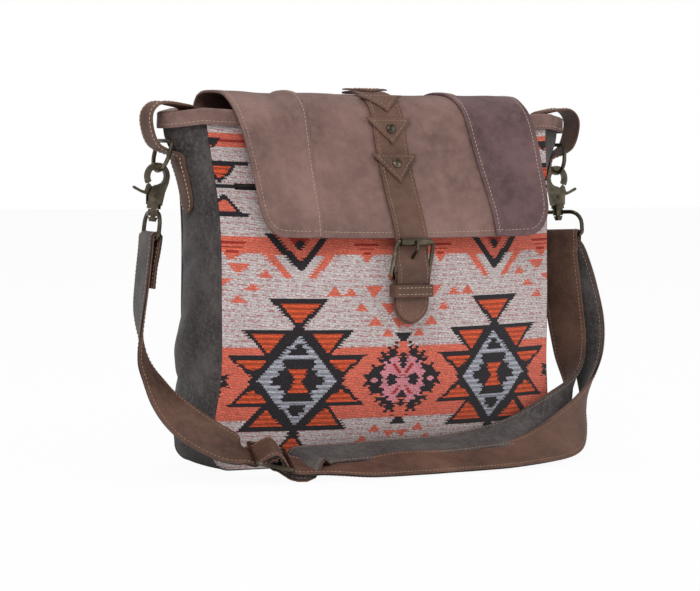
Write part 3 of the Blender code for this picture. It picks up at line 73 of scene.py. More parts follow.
FLAP_BOTTOM_HALF_WIDTH = 0.133
FLAP_CORNER_RADIUS = 0.020
SEAM_TOP_X = 0.067
SEAM_BOTTOM_X = 0.080
SEAM_OVERLAP = 0.008
STRAP_THICKNESS = 0.0024
CENTRE_STRAP_WIDTH = 0.030
TONGUE_END_Z = 0.119
PATCH_THICKNESS = 0.0016
PATCH_HALF_WIDTH = 0.0212
BUCKLE_WIRE = 0.0036
ROLLER_Z = 0.1835
PIVOT_BAR_Z = 0.1548
HINGE_Z = 0.262
KEEPER_THICKNESS = 0.0016
KEEPER_HEIGHT = 0.010
BUCKLE_WIDTH = 0.0380
PRONG_WIRE = 0.0026
TAB_WIDTH = 0.024
TAB_THICKNESS = 0.0022
RING_WIRE = 0.0035
RING_LENGTH = 0.028
RING_BAR_X = 0.1838
RING_BAR_Z = 0.2620
HOOK_EYE_HOLE = 0.0066
EYE_WIRE = 0.0035
EYE_DROP = 0.0200
SHOULDER_STRAP_WIDTH = 0.038
SHOULDER_STRAP_THICKNESS = 0.0030


# Curves
def spread(start, end, count):
    """Evenly spaced values from start to end, with this many steps between them."""
    return [start + (end - start) * k / count for k in range(count + 1)]


def heading(path, i):
    """The path's direction at its point i."""
    return (path[min(i + 1, len(path) - 1)] - path[max(i - 1, 0)]).normalized()


def smooth(points, steps):
    """Catmull-Rom through the points, with this many steps between each pair."""
    found = []
    last = len(points) - 1
    for i in range(last):
        p0 = points[max(i - 1, 0)]
        p1, p2 = points[i], points[i + 1]
        p3 = points[min(i + 2, last)]
        for k in range(steps):
            t = k / steps
            found.append(0.5 * (2 * p1 + (p2 - p0) * t + (2 * p0 - 5 * p1 + 4 * p2 - p3) * t * t
                                + (3 * p1 - p0 - 3 * p2 + p3) * t ** 3))
    found.append(points[last])
    return found


def reading(table, at):
    """The value of a smooth curve through (place, value) pairs, clamped at its ends."""
    if at <= table[0][0]:
        return table[0][1]
    if at >= table[-1][0]:
        return table[-1][1]
    i = max(k for k in range(len(table) - 1) if table[k][0] <= at)
    x1, y1 = table[i]
    x2, y2 = table[i + 1]
    x0, y0 = table[max(i - 1, 0)]
    x3, y3 = table[min(i + 2, len(table) - 1)]
    run = x2 - x1
    m1 = (y2 - y0) / (x2 - x0) * run
    m2 = (y3 - y1) / (x3 - x1) * run
    t = (at - x1) / run
    a, b = 2 * t ** 3 - 3 * t ** 2 + 1, t ** 3 - 2 * t ** 2 + t
    c, d = -2 * t ** 3 + 3 * t ** 2, t ** 3 - t ** 2
    return a * y1 + b * m1 + c * y2 + d * m2


# The bag's body: shares and places as (height, value), which smooth curves pass through
WAIST_SHARE = ((0.0, 0.35), (0.04, 0.5), (0.08, 1.0), (0.13, 1.0), (0.19, 0.95), (0.24, 0.5), (0.29, 0.0))
SEAM_Y = ((0.0, -0.029), (0.02, -0.031), (0.07, -0.036), (0.13, -0.036), (0.19, -0.033),
          (0.224, -0.0285), (0.25, -0.0225), (0.270, -0.0185), (0.29, -0.0175))
BULGE_SHARE = ((0.0, 0.15), (0.02, 0.5), (0.045, 0.76), (0.071, 0.87), (0.13, 0.89), (0.16, 0.97),
               (0.19, 0.90), (0.205, 0.68), (0.224, 0.44), (0.24, 0.28), (0.26, 0.10), (0.270, 0.02),
               (0.283, 0.0))
SIDE_BULGE_SHARE = ((0.0, 0.0), (0.016, 0.39), (0.04, 0.67), (0.08, 1.0), (0.13, 1.0), (0.18, 0.8),
                    (0.204, 0.5), (0.23, 0.2), (0.251, 0.0))
TIP_SHARE = ((0.17, 0.0), (0.204, 0.18), (0.23, 0.43), (0.251, 0.76), (0.262, 0.94), (0.270, 0.99),
             (0.283, 1.0))
TIP_PLACE = ((0.10, 0.50), (0.204, 0.44), (0.283, 0.38))
RIM_LIFT = 0.004


def seam_x(z):
    """Half the width of the bag at its front and back seams."""
    return SEAM_HALF_WIDTH - WAIST * reading(WAIST_SHARE, z)


def outline_x(z):
    """The same, with the rounded lower corners."""
    if z >= CORNER_RADIUS:
        return seam_x(z)
    drop = CORNER_RADIUS - z
    return seam_x(CORNER_RADIUS) - CORNER_RADIUS + math.sqrt(CORNER_RADIUS ** 2 - drop ** 2)


def cloth_height(x, z):
    """How high a point of the cloth stands once its top edge follows the rim."""
    return z / RIM_HEIGHT * rim_z(x) if z > CORNER_RADIUS else z


def mirrored(points):
    """The same points on the other side of the bag's middle."""
    return [Vector((-p.x, p.y, p.z)) for p in points]


def rim_z(x):
    """The top edge of the cloth: a little higher at the seams than in the middle and at the tips."""
    reach = abs(x)
    if reach <= SEAM_HALF_WIDTH:
        return RIM_HEIGHT + RIM_LIFT * (reach / SEAM_HALF_WIDTH) ** 2
    return RIM_HEIGHT + RIM_LIFT * max(0.0, 1 - (reach - SEAM_HALF_WIDTH) / TIP_REACH)


def front_y(x, z):
    """The outer face of the front panel."""
    across = min(1.0, abs(x) / seam_x(z))
    return reading(SEAM_Y, z) - PANEL_BULGE * reading(BULGE_SHARE, z) * (1 - across ** 2)


def back_y(x, z):
    """The outer face of the back panel."""
    across = min(1.0, abs(x) / seam_x(z))
    return BACK_SEAM_Y + BACK_BULGE * math.sin(math.pi * min(1.0, z / RIM_HEIGHT)) * (1 - across ** 2)


def gusset_edges(z):
    """Where the gusset starts behind the front panel and ends at the back one."""
    edge = PANEL_THICKNESS + GAP
    return reading(SEAM_Y, z) + edge, BACK_SEAM_Y - edge


def gusset_reach(z):
    """How far the gusset stands out at its peak at this height."""
    return GUSSET_BULGE * reading(SIDE_BULGE_SHARE, z) + TIP_REACH * reading(TIP_SHARE, z)


def gusset_form(across, z):
    """How far the gusset stands out at this share of its width, as a share of its reach."""
    peak = reading(TIP_PLACE, z)
    share = across / peak if across < peak else (1 - across) / (1 - peak)
    return math.sin(math.pi / 2 * share) ** 0.9 if share > 0 else 0.0


def gusset_x(y, z):
    """The outer face of the gusset on the +X side."""
    front, back = gusset_edges(z)
    across = min(1.0, max(0.0, (y - front) / (back - front)))
    return seam_x(z) + gusset_reach(z) * gusset_form(across, z)


TAB_FRONT, TAB_BACK = gusset_edges(RIM_HEIGHT)
TAB_Y = TAB_FRONT + reading(TIP_PLACE, RIM_HEIGHT) * (TAB_BACK - TAB_FRONT)


def grid_normals(grid):
    """Unit normals of a grid of points, by central differences."""
    rows, columns = len(grid), len(grid[0])
    found = []
    for i in range(rows):
        line = []
        for j in range(columns):
            along = grid[min(i + 1, rows - 1)][j] - grid[max(i - 1, 0)][j]
            across = grid[i][min(j + 1, columns - 1)] - grid[i][max(j - 1, 0)]
            line.append(along.cross(across).normalized())
        found.append(line)
    return found


GUSSET_COLUMNS = 22
CORNER_X = seam_x(CORNER_RADIUS) - CORNER_RADIUS


def corner_arc(steps):
    """(x, z, turn) round the bag's lower corner, after its first point."""
    angles = [math.pi / 2 * k / steps for k in range(1, steps + 1)]
    return [(CORNER_X + CORNER_RADIUS * math.cos(a), CORNER_RADIUS * (1 - math.sin(a)), a) for a in angles]


def gusset_row(x, z, normal_x, normal_z, reach):
    """One row of the gusset's outer face, from the front seam to the back one."""
    front, back = gusset_edges(z)
    row = []
    for k in range(GUSSET_COLUMNS + 1):
        across = k / GUSSET_COLUMNS
        out = reach * gusset_form(across, z)
        height = cloth_height(x + out, z) + normal_z * out
        row.append(Vector((x + normal_x * out, front + across * (back - front), height)))
    return row


def rim_path():
    """The middle of the cloth's top edge, all the way round."""
    half = PANEL_THICKNESS / 2
    corner = SEAM_HALF_WIDTH - 0.0015
    front, back = gusset_edges(RIM_HEIGHT)
    straight = [Vector((corner * (2 * k / 10 - 1), front_y(0, RIM_HEIGHT) + half, 0)) for k in range(11)]
    side = []
    for k in range(11):
        across = 0.04 + 0.92 * k / 10
        y = front + across * (back - front)
        side.append(Vector((gusset_x(y, RIM_HEIGHT) - half, y, 0)))
    rear = [Vector((-p.x, BACK_SEAM_Y - half, 0)) for p in straight]
    return straight + side + rear + mirrored(reversed(side))


# The flap's inner face down its middle and down its sides, as (y, z) in millimetres
FLAP_MIDDLE = ((45.4, 263.5), (45.7, 276), (45.2, 288), (38, 296.5), (26, 299.5), (12, 300.2), (-2, 298.4),
               (-14, 293.6), (-22.8, 284), (-27.0, 272), (-31.5, 258), (-40.5, 238), (-52, 215.5),
               (-61, 200), (-67, 186))
FLAP_SIDE = ((45.4, 263.5), (45.8, 276), (45.6, 288), (40, 297.5), (28, 301), (10, 301.3), (-4, 299.5),
             (-16, 293.5), (-27, 285), (-36, 273.5), (-43, 262), (-50, 248), (-59, 230), (-66, 210),
             (-68.5, 188.5))
FLAP_STEPS = 2


@functools.lru_cache(maxsize=None)
def flap_line(across):
    """The flap's inner face as (y, z) points at this share of its half width."""
    share = min(1.0, abs(across)) ** 2
    mixed = [Vector((0, a[0] + (b[0] - a[0]) * share, a[1] + (b[1] - a[1]) * share)) * MM
             for a, b in zip(FLAP_MIDDLE, FLAP_SIDE)]
    return smooth(mixed, FLAP_STEPS)


FLAP_ROWS = len(flap_line(0))
FLAP_LENGTHS = [0.0]
for row in range(1, FLAP_ROWS):
    FLAP_LENGTHS.append(FLAP_LENGTHS[-1] + (flap_line(0)[row] - flap_line(0)[row - 1]).length)
FLAP_LENGTH = FLAP_LENGTHS[-1]


def flap_point(x, travel, height):
    """A point this far along the flap and this far above its inner face, with the face's normal."""
    line = flap_line(x / FLAP_TOP_HALF_WIDTH)
    row = max(k for k in range(FLAP_ROWS - 1) if FLAP_LENGTHS[k] <= travel + 1e-9)
    share = (travel - FLAP_LENGTHS[row]) / (FLAP_LENGTHS[row + 1] - FLAP_LENGTHS[row])
    at = line[row].lerp(line[row + 1], share)
    ends = []
    for k in (row, row + 1):
        run = heading(line, k)
        ends.append(Vector((0, run.z, -run.y)).normalized())
    normal = ends[0].lerp(ends[1], share).normalized()
    return Vector((x, at.y, at.z)) + normal * height, normal


# The centre strap and its patches, as heights above the flap's inner face
STRAP_LOW = FLAP_THICKNESS + 2 * GAP
STRAP_HIGH = STRAP_LOW + STRAP_THICKNESS
PATCH_LOW = STRAP_HIGH + GAP
PATCH_HIGH = PATCH_LOW + PATCH_THICKNESS
PATCH_FRONT_Y = (12.5, -9.5, -24.2, -34.4)
PATCH_LENGTHS = (0.012, 0.017, 0.022, 0.026)


# Above this height each y in front of the flap's top comes once.
FLAP_START_Z = 0.2


def travel_at(y):
    """How far along the flap's middle its inner face comes to this y, in millimetres, past the top."""
    line = flap_line(0)
    for row in range(FLAP_ROWS - 1):
        a, b = line[row].y / MM, line[row + 1].y / MM
        if a >= y >= b and line[row].z > FLAP_START_Z:
            share = (a - y) / (a - b) if a != b else 0.0
            return FLAP_LENGTHS[row] + share * (FLAP_LENGTHS[row + 1] - FLAP_LENGTHS[row])
    return FLAP_LENGTH


def patch_travels():
    """How far along the flap each patch starts."""
    return [travel_at(y) for y in PATCH_FRONT_Y]


STRAP_FREE_Y = flap_point(0.0, FLAP_LENGTH, (STRAP_LOW + STRAP_HIGH) / 2)[0].y
PIVOT_BAR_Y = STRAP_FREE_Y + 0.0022
CHAPE_THICKNESS = 0.0020
CHAPE_MIDDLE = BUCKLE_WIRE / 2 + GAP + CHAPE_THICKNESS / 2
TONGUE_OVER_PIVOT = PIVOT_BAR_Y - BUCKLE_WIRE / 2 - PRONG_WIRE - 3 * GAP - STRAP_THICKNESS / 2


def rounded_tip(path, width):
    """The width at each point of a strap that ends in a half circle."""
    radius = width / 2
    left = [0.0]
    for a, b in zip(reversed(path[1:]), reversed(path[:-1])):
        left.append(left[-1] + (a - b).length)
    left.reverse()

    def at(i):
        if left[i] >= radius:
            return width
        return max(0.004, 2 * math.sqrt(max(0.0, radius ** 2 - (radius - left[i]) ** 2)))
    return at


def tongue_path():
    """The centre strap: along the flap's middle, behind the roller, over the pivot bar, to its end."""
    middle = (STRAP_LOW + STRAP_HIGH) / 2
    start = travel_at(PATCH_FRONT_Y[0]) - 0.012
    steps = 26
    last = FLAP_LENGTH - 0.001
    path = [flap_point(0.0, start + (last - start) * k / steps, middle)[0] for k in range(steps + 1)]
    y = TONGUE_OVER_PIVOT
    free = [path[-1], Vector((0, STRAP_FREE_Y, ROLLER_Z - 0.004)), Vector((0, STRAP_FREE_Y - 0.0006, 0.1700)),
            Vector((0, y, PIVOT_BAR_Z + 0.005)), Vector((0, y, PIVOT_BAR_Z - 0.001)),
            Vector((0, y + 0.0012, PIVOT_BAR_Z - 0.009)), Vector((0, y + 0.0018, 0.136)),
            Vector((0, y + 0.0018, 0.127)), Vector((0, y + 0.0018, TONGUE_END_Z + 0.006)),
            Vector((0, y + 0.0018, TONGUE_END_Z + 0.002)), Vector((0, y + 0.0018, TONGUE_END_Z))]
    return path + smooth(free, 2)[1:]


# The side hardware: what leans or turns at rest on each side
SIDES = {
    "left": {"sign": -1, "ring_lean": math.radians(15), "hook_lean": math.radians(6),
             "eye_turn": math.radians(8)},
    "right": {"sign": 1, "ring_lean": math.radians(3), "hook_lean": math.radians(5),
              "eye_turn": math.radians(32)},
}


# The tab's arch over the rim, as (out, up) from the gusset's tip, and its tail below the ring.
TAB_ARCH = ((0.004, 0.0012), (0.0105, -0.0004), (0.0155, -0.0060), (0.0165, -0.0140))
TAB_TAIL_START = 0.0115
TAB_TAIL_LENGTH = 0.0465
TAB_TAIL_STEPS = 6


def tab_path():
    """The tab's middle, as (x, z, clings): from inside, over the rim, through the ring, down the gusset."""
    tip = gusset_x(TAB_Y, RIM_HEIGHT)
    wall = BINDING_GROOVE / 2 + BINDING_THICKNESS + GAP + TAB_THICKNESS / 2 + 0.0082
    middle = tip - GUSSET_THICKNESS / 2
    inside_x = middle - wall
    over = rim_z(tip) + GAP + BINDING_THICKNESS + GAP + TAB_THICKNESS / 2 + 0.0052
    loop = RING_BAR_X + RING_WIRE
    face = GAP + TAB_THICKNESS / 2 + 0.0002
    path = [(inside_x, RIM_HEIGHT - drop, 1) for drop in (0.014, 0.006, 0.001)]
    path += [(inside_x + 0.0010, over - 0.0030, 1), (middle - 0.0025, over, 0.8)]
    path += [(middle + out, over + rise, 0) for out, rise in TAB_ARCH]
    path += [(middle + 0.0140, RING_BAR_Z + 0.0045, 0), (loop + 0.0062, RING_BAR_Z - 0.0030, 0),
             (loop - 0.0005, RING_BAR_Z - 0.0072, 0.25)]
    for k in range(TAB_TAIL_STEPS + 1):
        z = RING_BAR_Z - TAB_TAIL_START - TAB_TAIL_LENGTH * k / TAB_TAIL_STEPS
        path.append((gusset_x(TAB_Y, z) + face, z, 1))
    return path


RING_DROP = RING_LENGTH - RING_WIRE


def hook_matrix(side):
    """Carries hook axes (outer, -Y depth, up) to the +X side's place; its origin is the ring's wire."""
    ring_lean, hook_lean = side["ring_lean"], side["hook_lean"]
    bar = Vector((RING_BAR_X, TAB_Y, RING_BAR_Z))
    top = bar + Vector((math.sin(ring_lean), 0, -math.cos(ring_lean))) * RING_DROP
    along = Vector((math.sin(hook_lean), 0, -math.cos(hook_lean)))
    outer = Vector((math.cos(hook_lean), 0, math.sin(hook_lean)))
    turn = Matrix((outer, Vector((0, 1, 0)), -along)).transposed().to_4x4()
    return Matrix.Translation(top) @ turn


CLAW_CENTRE = -(HOOK_EYE_HOLE - RING_WIRE / 2 - GAP)
PIN_HEIGHT = CLAW_CENTRE - HOOK_EYE_HOLE - 0.0088
BODY_END = PIN_HEIGHT - 0.0075
COLLAR_HEIGHT = 0.0030
SHANK_END = BODY_END - COLLAR_HEIGHT
EYE_BOSS = 0.0055
EYE_BOTTOM = SHANK_END - GAP - EYE_BOSS / 2 - EYE_DROP


# The shoulder strap's route, as (place in millimetres, direction of its width)
LEFT_DROP = (((-204, 2, 152), (0.15, 0.99, 0.0)), ((-208, -3, 128), (0.20, 0.98, 0.0)),
             ((-209, -9, 106), (0.38, 0.92, 0.03)), ((-209, -18, 88), (0.54, 0.84, 0.05)),
             ((-206, -30, 73), (0.62, 0.76, 0.15)), ((-201, -44, 58), (0.62, 0.68, 0.38)),
             ((-193, -58, 45), (0.56, 0.62, 0.54)), ((-181, -72, 34), (0.52, 0.62, 0.58)),
             ((-166, -84, 25), (0.46, 0.72, 0.52)))
OUTER_RUN = (((-98, -97, 9), (0.14, 0.97, 0.16)), ((-82, -98, 7), (0.10, 0.98, 0.12)),
             ((-55, -100, 6), (0.0, 0.97, 0.20)), ((-20, -99, 8), (0.0, 0.93, 0.34)),
             ((25, -98, 8), (0.0, 0.94, 0.32)), ((70, -95, 9), (-0.08, 0.93, 0.36)),
             ((112, -86, 12), (-0.20, 0.86, 0.46)), ((147, -72, 19), (-0.46, 0.50, 0.72)),
             ((176, -53, 33), (-0.52, -0.22, 0.80)), ((196, -34, 55), (-0.22, -0.78, 0.56)),
             ((207, -18, 80), (0.14, -0.95, 0.28)), ((211, -7, 110), (0.34, -0.93, 0.08)),
             ((206, 0, 142), (0.44, -0.90, 0.0)), ((198, 3.5, 166), (0.50, -0.87, 0.0)))
INNER_RUN = (((-100, -84, 14), (0.20, 0.95, 0.20)), ((-84, -74, 15), (0.12, 0.95, 0.26)),
             ((-55, -70, 15), (0.0, 0.96, 0.26)), ((-15, -70, 16), (0.0, 0.96, 0.26)),
             ((30, -69, 17), (0.0, 0.96, 0.26)), ((75, -66, 20), (-0.08, 0.95, 0.30)),
             ((112, -62, 24), (-0.30, 0.80, 0.52)), ((145, -54, 32), (-0.60, 0.30, 0.74)),
             ((172, -40, 46), (-0.52, -0.42, 0.72)), ((186, -27, 66), (-0.16, -0.90, 0.38)),
             ((191, -14, 88), (0.22, -0.96, 0.12)), ((192, -5, 113), (0.38, -0.92, 0.0)),
             ((190, 0, 142), (0.46, -0.89, 0.0)), ((187.5, 2.5, 166), (0.50, -0.87, 0.0)))
SLIDER_AT = Vector((-136, -93, 19.0)) * MM
SLIDER_ALONG = Vector((0.93, -0.20, -0.20)).normalized()
SLIDER_WIDTH = Vector((0.26, 0.92, 0.25))


def stations(run):
    """A part of the route, as (point, width direction) in metres."""
    return [(Vector(at) * MM, Vector(width).normalized()) for at, width in run]


def eye_bar(side):
    """The middle of the eye's lower bar, its direction, and the outward direction across it."""
    spin = Matrix.Rotation(side["eye_turn"], 4, "Z")
    turn = Matrix.Diagonal((side["sign"], 1, 1, 1)) @ hook_matrix(side) @ spin
    middle = turn @ Vector((0, 0, EYE_BOTTOM))
    along = (turn @ Vector((0, 1, EYE_BOTTOM)) - middle).normalized()
    down = (turn @ Vector((0, 0, EYE_BOTTOM - 1)) - middle).normalized()
    out = along.cross(down)
    if out.x * side["sign"] < 0:
        out = -out
    return middle, along, down, out


def eye_loop(side, start, end):
    """Strap stations round the eye's lower bar, from one turn angle to another, in degrees."""
    middle, along, down, out = eye_bar(side)
    radius = EYE_WIRE / 2 + GAP + SHOULDER_STRAP_THICKNESS / 2
    found = []
    steps = 7
    for k in range(steps + 1):
        a = math.radians(start + (end - start) * k / steps)
        found.append((middle + radius * (out * math.cos(a) - down * math.sin(a)), along))
    return found


def slider_axes():
    """The strap slider's axes: along the strap, across it, and out of its front."""
    along = SLIDER_ALONG
    width = (SLIDER_WIDTH - along * SLIDER_WIDTH.dot(along)).normalized()
    out = width.cross(along)
    if out.y > 0:
        out = -out
    return along, width, out


def slider_point(u, n):
    """A station of the strap at the slider: u along it and n out of it, in millimetres."""
    along, width, out = slider_axes()
    return SLIDER_AT + along * u * MM + out * n * MM, width


# Where the strap's two layers meet below an eye, and its way over the slider and round the slider's
# bar, in millimetres (along the slider, out of it).
EYE_CLEAR = 0.0100
OVER_SLIDER = ((-21, -3.6), (-15, -3.7), (-9.5, 0.4), (-5, 5.0), (0, 7.6), (5, 5.0), (9.5, 0.4), (15, -3.7),
               (21, -3.8))
ROUND_SLIDER_BAR = ((24, -7.7), (14, -7.5), (4, -3.9), (0, -3.5), (-3.0, -1.9), (-3.4, 0.6), (-1.8, 2.9),
                    (1.6, 2.9))


def strap_stations():
    """The whole strap in one run: left end, left eye, slider, right eye, and back to the slider's bar."""
    left, right = SIDES["left"], SIDES["right"]
    middle, along, down, out = eye_bar(left)
    layers = SHOULDER_STRAP_THICKNESS / 2 + GAP
    close, apart = layers + 0.0003, layers + 0.0014
    route = [(middle + down * 0.0400 - out * close, along), (middle + down * 0.0240 - out * close, along),
             (middle + down * EYE_CLEAR - out * apart, along)]
    route += eye_loop(left, 180, 0)
    route += [(middle + down * EYE_CLEAR + out * apart, along)]
    route += stations(LEFT_DROP)
    route += [slider_point(u, n) for u, n in OVER_SLIDER]
    route += stations(OUTER_RUN)
    middle, along, down, out = eye_bar(right)
    facing = along if along.dot(Vector(OUTER_RUN[-1][1])) > 0 else -along
    route += [(middle + down * EYE_CLEAR + out * apart, facing)]
    route += [(at, facing) for at, _ in eye_loop(right, 0, 180)]
    route += [(middle + down * EYE_CLEAR - out * apart, facing)]
    route += stations(reversed(INNER_RUN))
    route += [slider_point(u, n) for u, n in ROUND_SLIDER_BAR]
    return route


# Camera, floor and light
CAMERA_AZIMUTH = math.radians(-28.292)
CAMERA_ELEVATION = math.radians(3.698)
CAMERA_ROLL = math.radians(0.768)
CAMERA_DISTANCE = 2.138
CAMERA_AIM_ACROSS = -0.01569
CAMERA_AIM_HEIGHT = 0.13544
CAMERA_LENS_MM = 132.43


def add_camera():
    """The camera that was fitted to the photograph's outlines."""
    a, e, r = CAMERA_AZIMUTH, CAMERA_ELEVATION, CAMERA_ROLL
    back = Vector((math.sin(a) * math.cos(e), -math.cos(a) * math.cos(e), math.sin(e)))
    level = Vector((math.cos(a), math.sin(a), 0))
    up = back.cross(level)
    right = level * math.cos(r) + up * math.sin(r)
    top = up * math.cos(r) - level * math.sin(r)
    aim = Vector((CAMERA_AIM_ACROSS * math.cos(a), CAMERA_AIM_ACROSS * math.sin(a), CAMERA_AIM_HEIGHT))
    data = bpy.data.cameras.new("camera")
    data.sensor_fit = "HORIZONTAL"
    data.sensor_width = 36
    data.lens = CAMERA_LENS_MM
    data.clip_end = 50
    camera = bpy.data.objects.new("camera", data)
    turn = Matrix((right, top, back)).transposed().to_4x4()
    camera.matrix_world = Matrix.Translation(aim + back * CAMERA_DISTANCE) @ turn
    bpy.context.scene.collection.objects.link(camera)
    bpy.context.scene.camera = camera


def add_light(name, place_at, aim_height, size, watts):
    data = bpy.data.lights.new(name, "AREA")
    data.shape = "DISK"
    data.size = size
    data.energy = watts
    lamp = bpy.data.objects.new(name, data)
    lamp.location = place_at
    lamp.rotation_euler = (Vector((0, 0, aim_height)) - Vector(place_at)).to_track_quat("-Z", "Y").to_euler()
    bpy.context.scene.collection.objects.link(lamp)


WORLD_STRENGTH = 0.44
WHITE = (1.0, 1.0, 1.0, 1)
FLOOR_REACH = 6.0
FLOOR_DROP = 0.0006
FLOOR_GREY = 0.93
FLOOR_WHITE_SHARE = 0.95


# Each light: (name, place, aimed at this height, size in metres, watts).
LIGHTS = (("key", (-1.5, -2.2, 2.4), 0.12, 1.6, 46), ("fill", (2.2, -2.0, 1.3), 0.12, 1.8, 12),
          ("top", (0.2, 0.6, 2.8), 0.15, 1.8, 15))


def join_shaders(tree, share, plain, seen, out):
    """Mixes two shaders by this share of the second one."""
    mix = tree.nodes.new("ShaderNodeMixShader")
    for socket, source in zip(mix.inputs, (share, plain.outputs[0], seen.outputs[0])):
        tree.links.new(source, socket)
    tree.links.new(mix.outputs[0], out)


def add_world():
    """Soft light from all round, and plain white where the camera sees past the floor."""
    world = bpy.data.worlds.new("studio")
    world.use_nodes = True
    nodes, links = world.node_tree.nodes, world.node_tree.links
    nodes.clear()
    out = nodes.new("ShaderNodeOutputWorld")
    soft, white = nodes.new("ShaderNodeBackground"), nodes.new("ShaderNodeBackground")
    for sky, strength in ((soft, WORLD_STRENGTH), (white, 1.0)):
        sky.inputs["Color"].default_value = WHITE
        sky.inputs["Strength"].default_value = strength
    rays = nodes.new("ShaderNodeLightPath")
    seen = nodes.new("ShaderNodeMath")
    seen.operation = "MAXIMUM"
    links.new(rays.outputs["Is Camera Ray"], seen.inputs[0])
    links.new(rays.outputs["Is Transmission Ray"], seen.inputs[1])
    join_shaders(world.node_tree, seen.outputs[0], soft, white, out.inputs["Surface"])
    bpy.context.scene.world = world


def floor_look():
    """A pale floor that takes shadows and is nearly white to the camera."""
    look = bpy.data.materials.new("floor")
    look.use_nodes = True
    nodes, links = look.node_tree.nodes, look.node_tree.links
    shader = nodes["Principled BSDF"]
    shader.inputs["Base Color"].default_value = (FLOOR_GREY, FLOOR_GREY, FLOOR_GREY, 1)
    shader.inputs["Roughness"].default_value = 0.9
    shader.inputs["Specular IOR Level"].default_value = 0.1
    share = nodes.new("ShaderNodeMath")
    share.operation = "MULTIPLY"
    share.inputs[1].default_value = FLOOR_WHITE_SHARE
    links.new(nodes.new("ShaderNodeLightPath").outputs["Is Camera Ray"], share.inputs[0])
    bright = nodes.new("ShaderNodeEmission")
    join_shaders(look.node_tree, share.outputs[0], shader, bright, nodes["Material Output"].inputs["Surface"])
    return look


def add_stage():
    add_world()
    mesh = bpy.data.meshes.new("floor")
    corners = [(x * FLOOR_REACH, y * FLOOR_REACH, 0) for x, y in ((-1, -1), (1, -1), (1, 1), (-1, 1))]
    mesh.from_pydata(corners, [], [(0, 1, 2, 3)])
    mesh.materials.append(floor_look())
    floor = bpy.data.objects.new("floor", mesh)
    floor.location.z = -FLOOR_DROP
    bpy.context.scene.collection.objects.link(floor)
    for light in LIGHTS:
        add_light(*light)
    bpy.context.scene.view_settings.view_transform = "Standard"


# Materials
def linear(*rgb):
    """A colour given as 0 to 255 display values, as the shader wants it."""
    found = []
    for value in rgb:
        share = value / 255
        found.append(share / 12.92 if share <= 0.04045 else ((share + 0.055) / 1.055) ** 2.4)
    return (*found, 1.0)


def grey(value):
    return (value, value, value, 1)


class Look:
    """A Principled material and the nodes that feed it."""

    def __init__(self, name, roughness, metallic=0.0, sheen=0.0, specular=0.5):
        self.material = bpy.data.materials.new(name)
        self.material.use_nodes = True
        self.tree = self.material.node_tree
        self.shader = self.tree.nodes["Principled BSDF"]
        self.shader.inputs["Roughness"].default_value = roughness
        self.shader.inputs["Metallic"].default_value = metallic
        self.shader.inputs["Sheen Weight"].default_value = sheen
        self.shader.inputs["Specular IOR Level"].default_value = specular
        self.place = self.tree.nodes.new("ShaderNodeTexCoord").outputs["Object"]

    def node(self, kind, **settings):
        made = self.tree.nodes.new(kind)
        for key, value in settings.items():
            setattr(made, key, value)
        return made

    def link(self, a, b):
        self.tree.links.new(a, b)

    def noise(self, scale, detail=3.0, roughness=0.55, stretch=None):
        made = self.node("ShaderNodeTexNoise")
        made.inputs["Scale"].default_value = scale
        made.inputs["Detail"].default_value = detail
        made.inputs["Roughness"].default_value = roughness
        source = self.place
        if stretch:
            mapping = self.node("ShaderNodeMapping")
            mapping.inputs["Scale"].default_value = stretch
            self.link(self.place, mapping.inputs["Vector"])
            source = mapping.outputs[0]
        self.link(source, made.inputs["Vector"])
        return made.outputs["Fac"]

    def cells(self, scale, feature="F1"):
        made = self.node("ShaderNodeTexVoronoi", feature=feature)
        made.inputs["Scale"].default_value = scale
        self.link(self.place, made.inputs["Vector"])
        return made.outputs["Distance"]

    def ramp(self, value, *stops):
        made = self.node("ShaderNodeValToRGB")
        ramp = made.color_ramp
        while len(ramp.elements) < len(stops):
            ramp.elements.new(0.5)
        for element, (at, colour) in zip(ramp.elements, stops):
            element.position = at
            element.color = colour
        self.link(value, made.inputs["Fac"])
        return made.outputs["Color"]

    def mix(self, share, a, b, blend="MIX"):
        made = self.node("ShaderNodeMix", data_type="RGBA", blend_type=blend)
        for socket, value in ((made.inputs[0], share), (made.inputs[6], a), (made.inputs[7], b)):
            if hasattr(value, "node"):
                self.link(value, socket)
            else:
                socket.default_value = value
        return made.outputs[2]

    def colour(self, source):
        self.link(source, self.shader.inputs["Base Color"])

    def rough(self, value, low, high):
        made = self.node("ShaderNodeMapRange")
        made.inputs["To Min"].default_value = low
        made.inputs["To Max"].default_value = high
        self.link(value, made.inputs["Value"])
        self.link(made.outputs[0], self.shader.inputs["Roughness"])

    def bump(self, height, strength, distance):
        made = self.node("ShaderNodeBump")
        made.inputs["Strength"].default_value = strength
        made.inputs["Distance"].default_value = distance
        self.link(height, made.inputs["Height"])
        last = getattr(self, "last_bump", None)
        if last:
            self.link(last, made.inputs["Normal"])
        self.last_bump = made.outputs[0]
        self.link(self.last_bump, self.shader.inputs["Normal"])


LEATHER_ROUGHNESS = 0.55


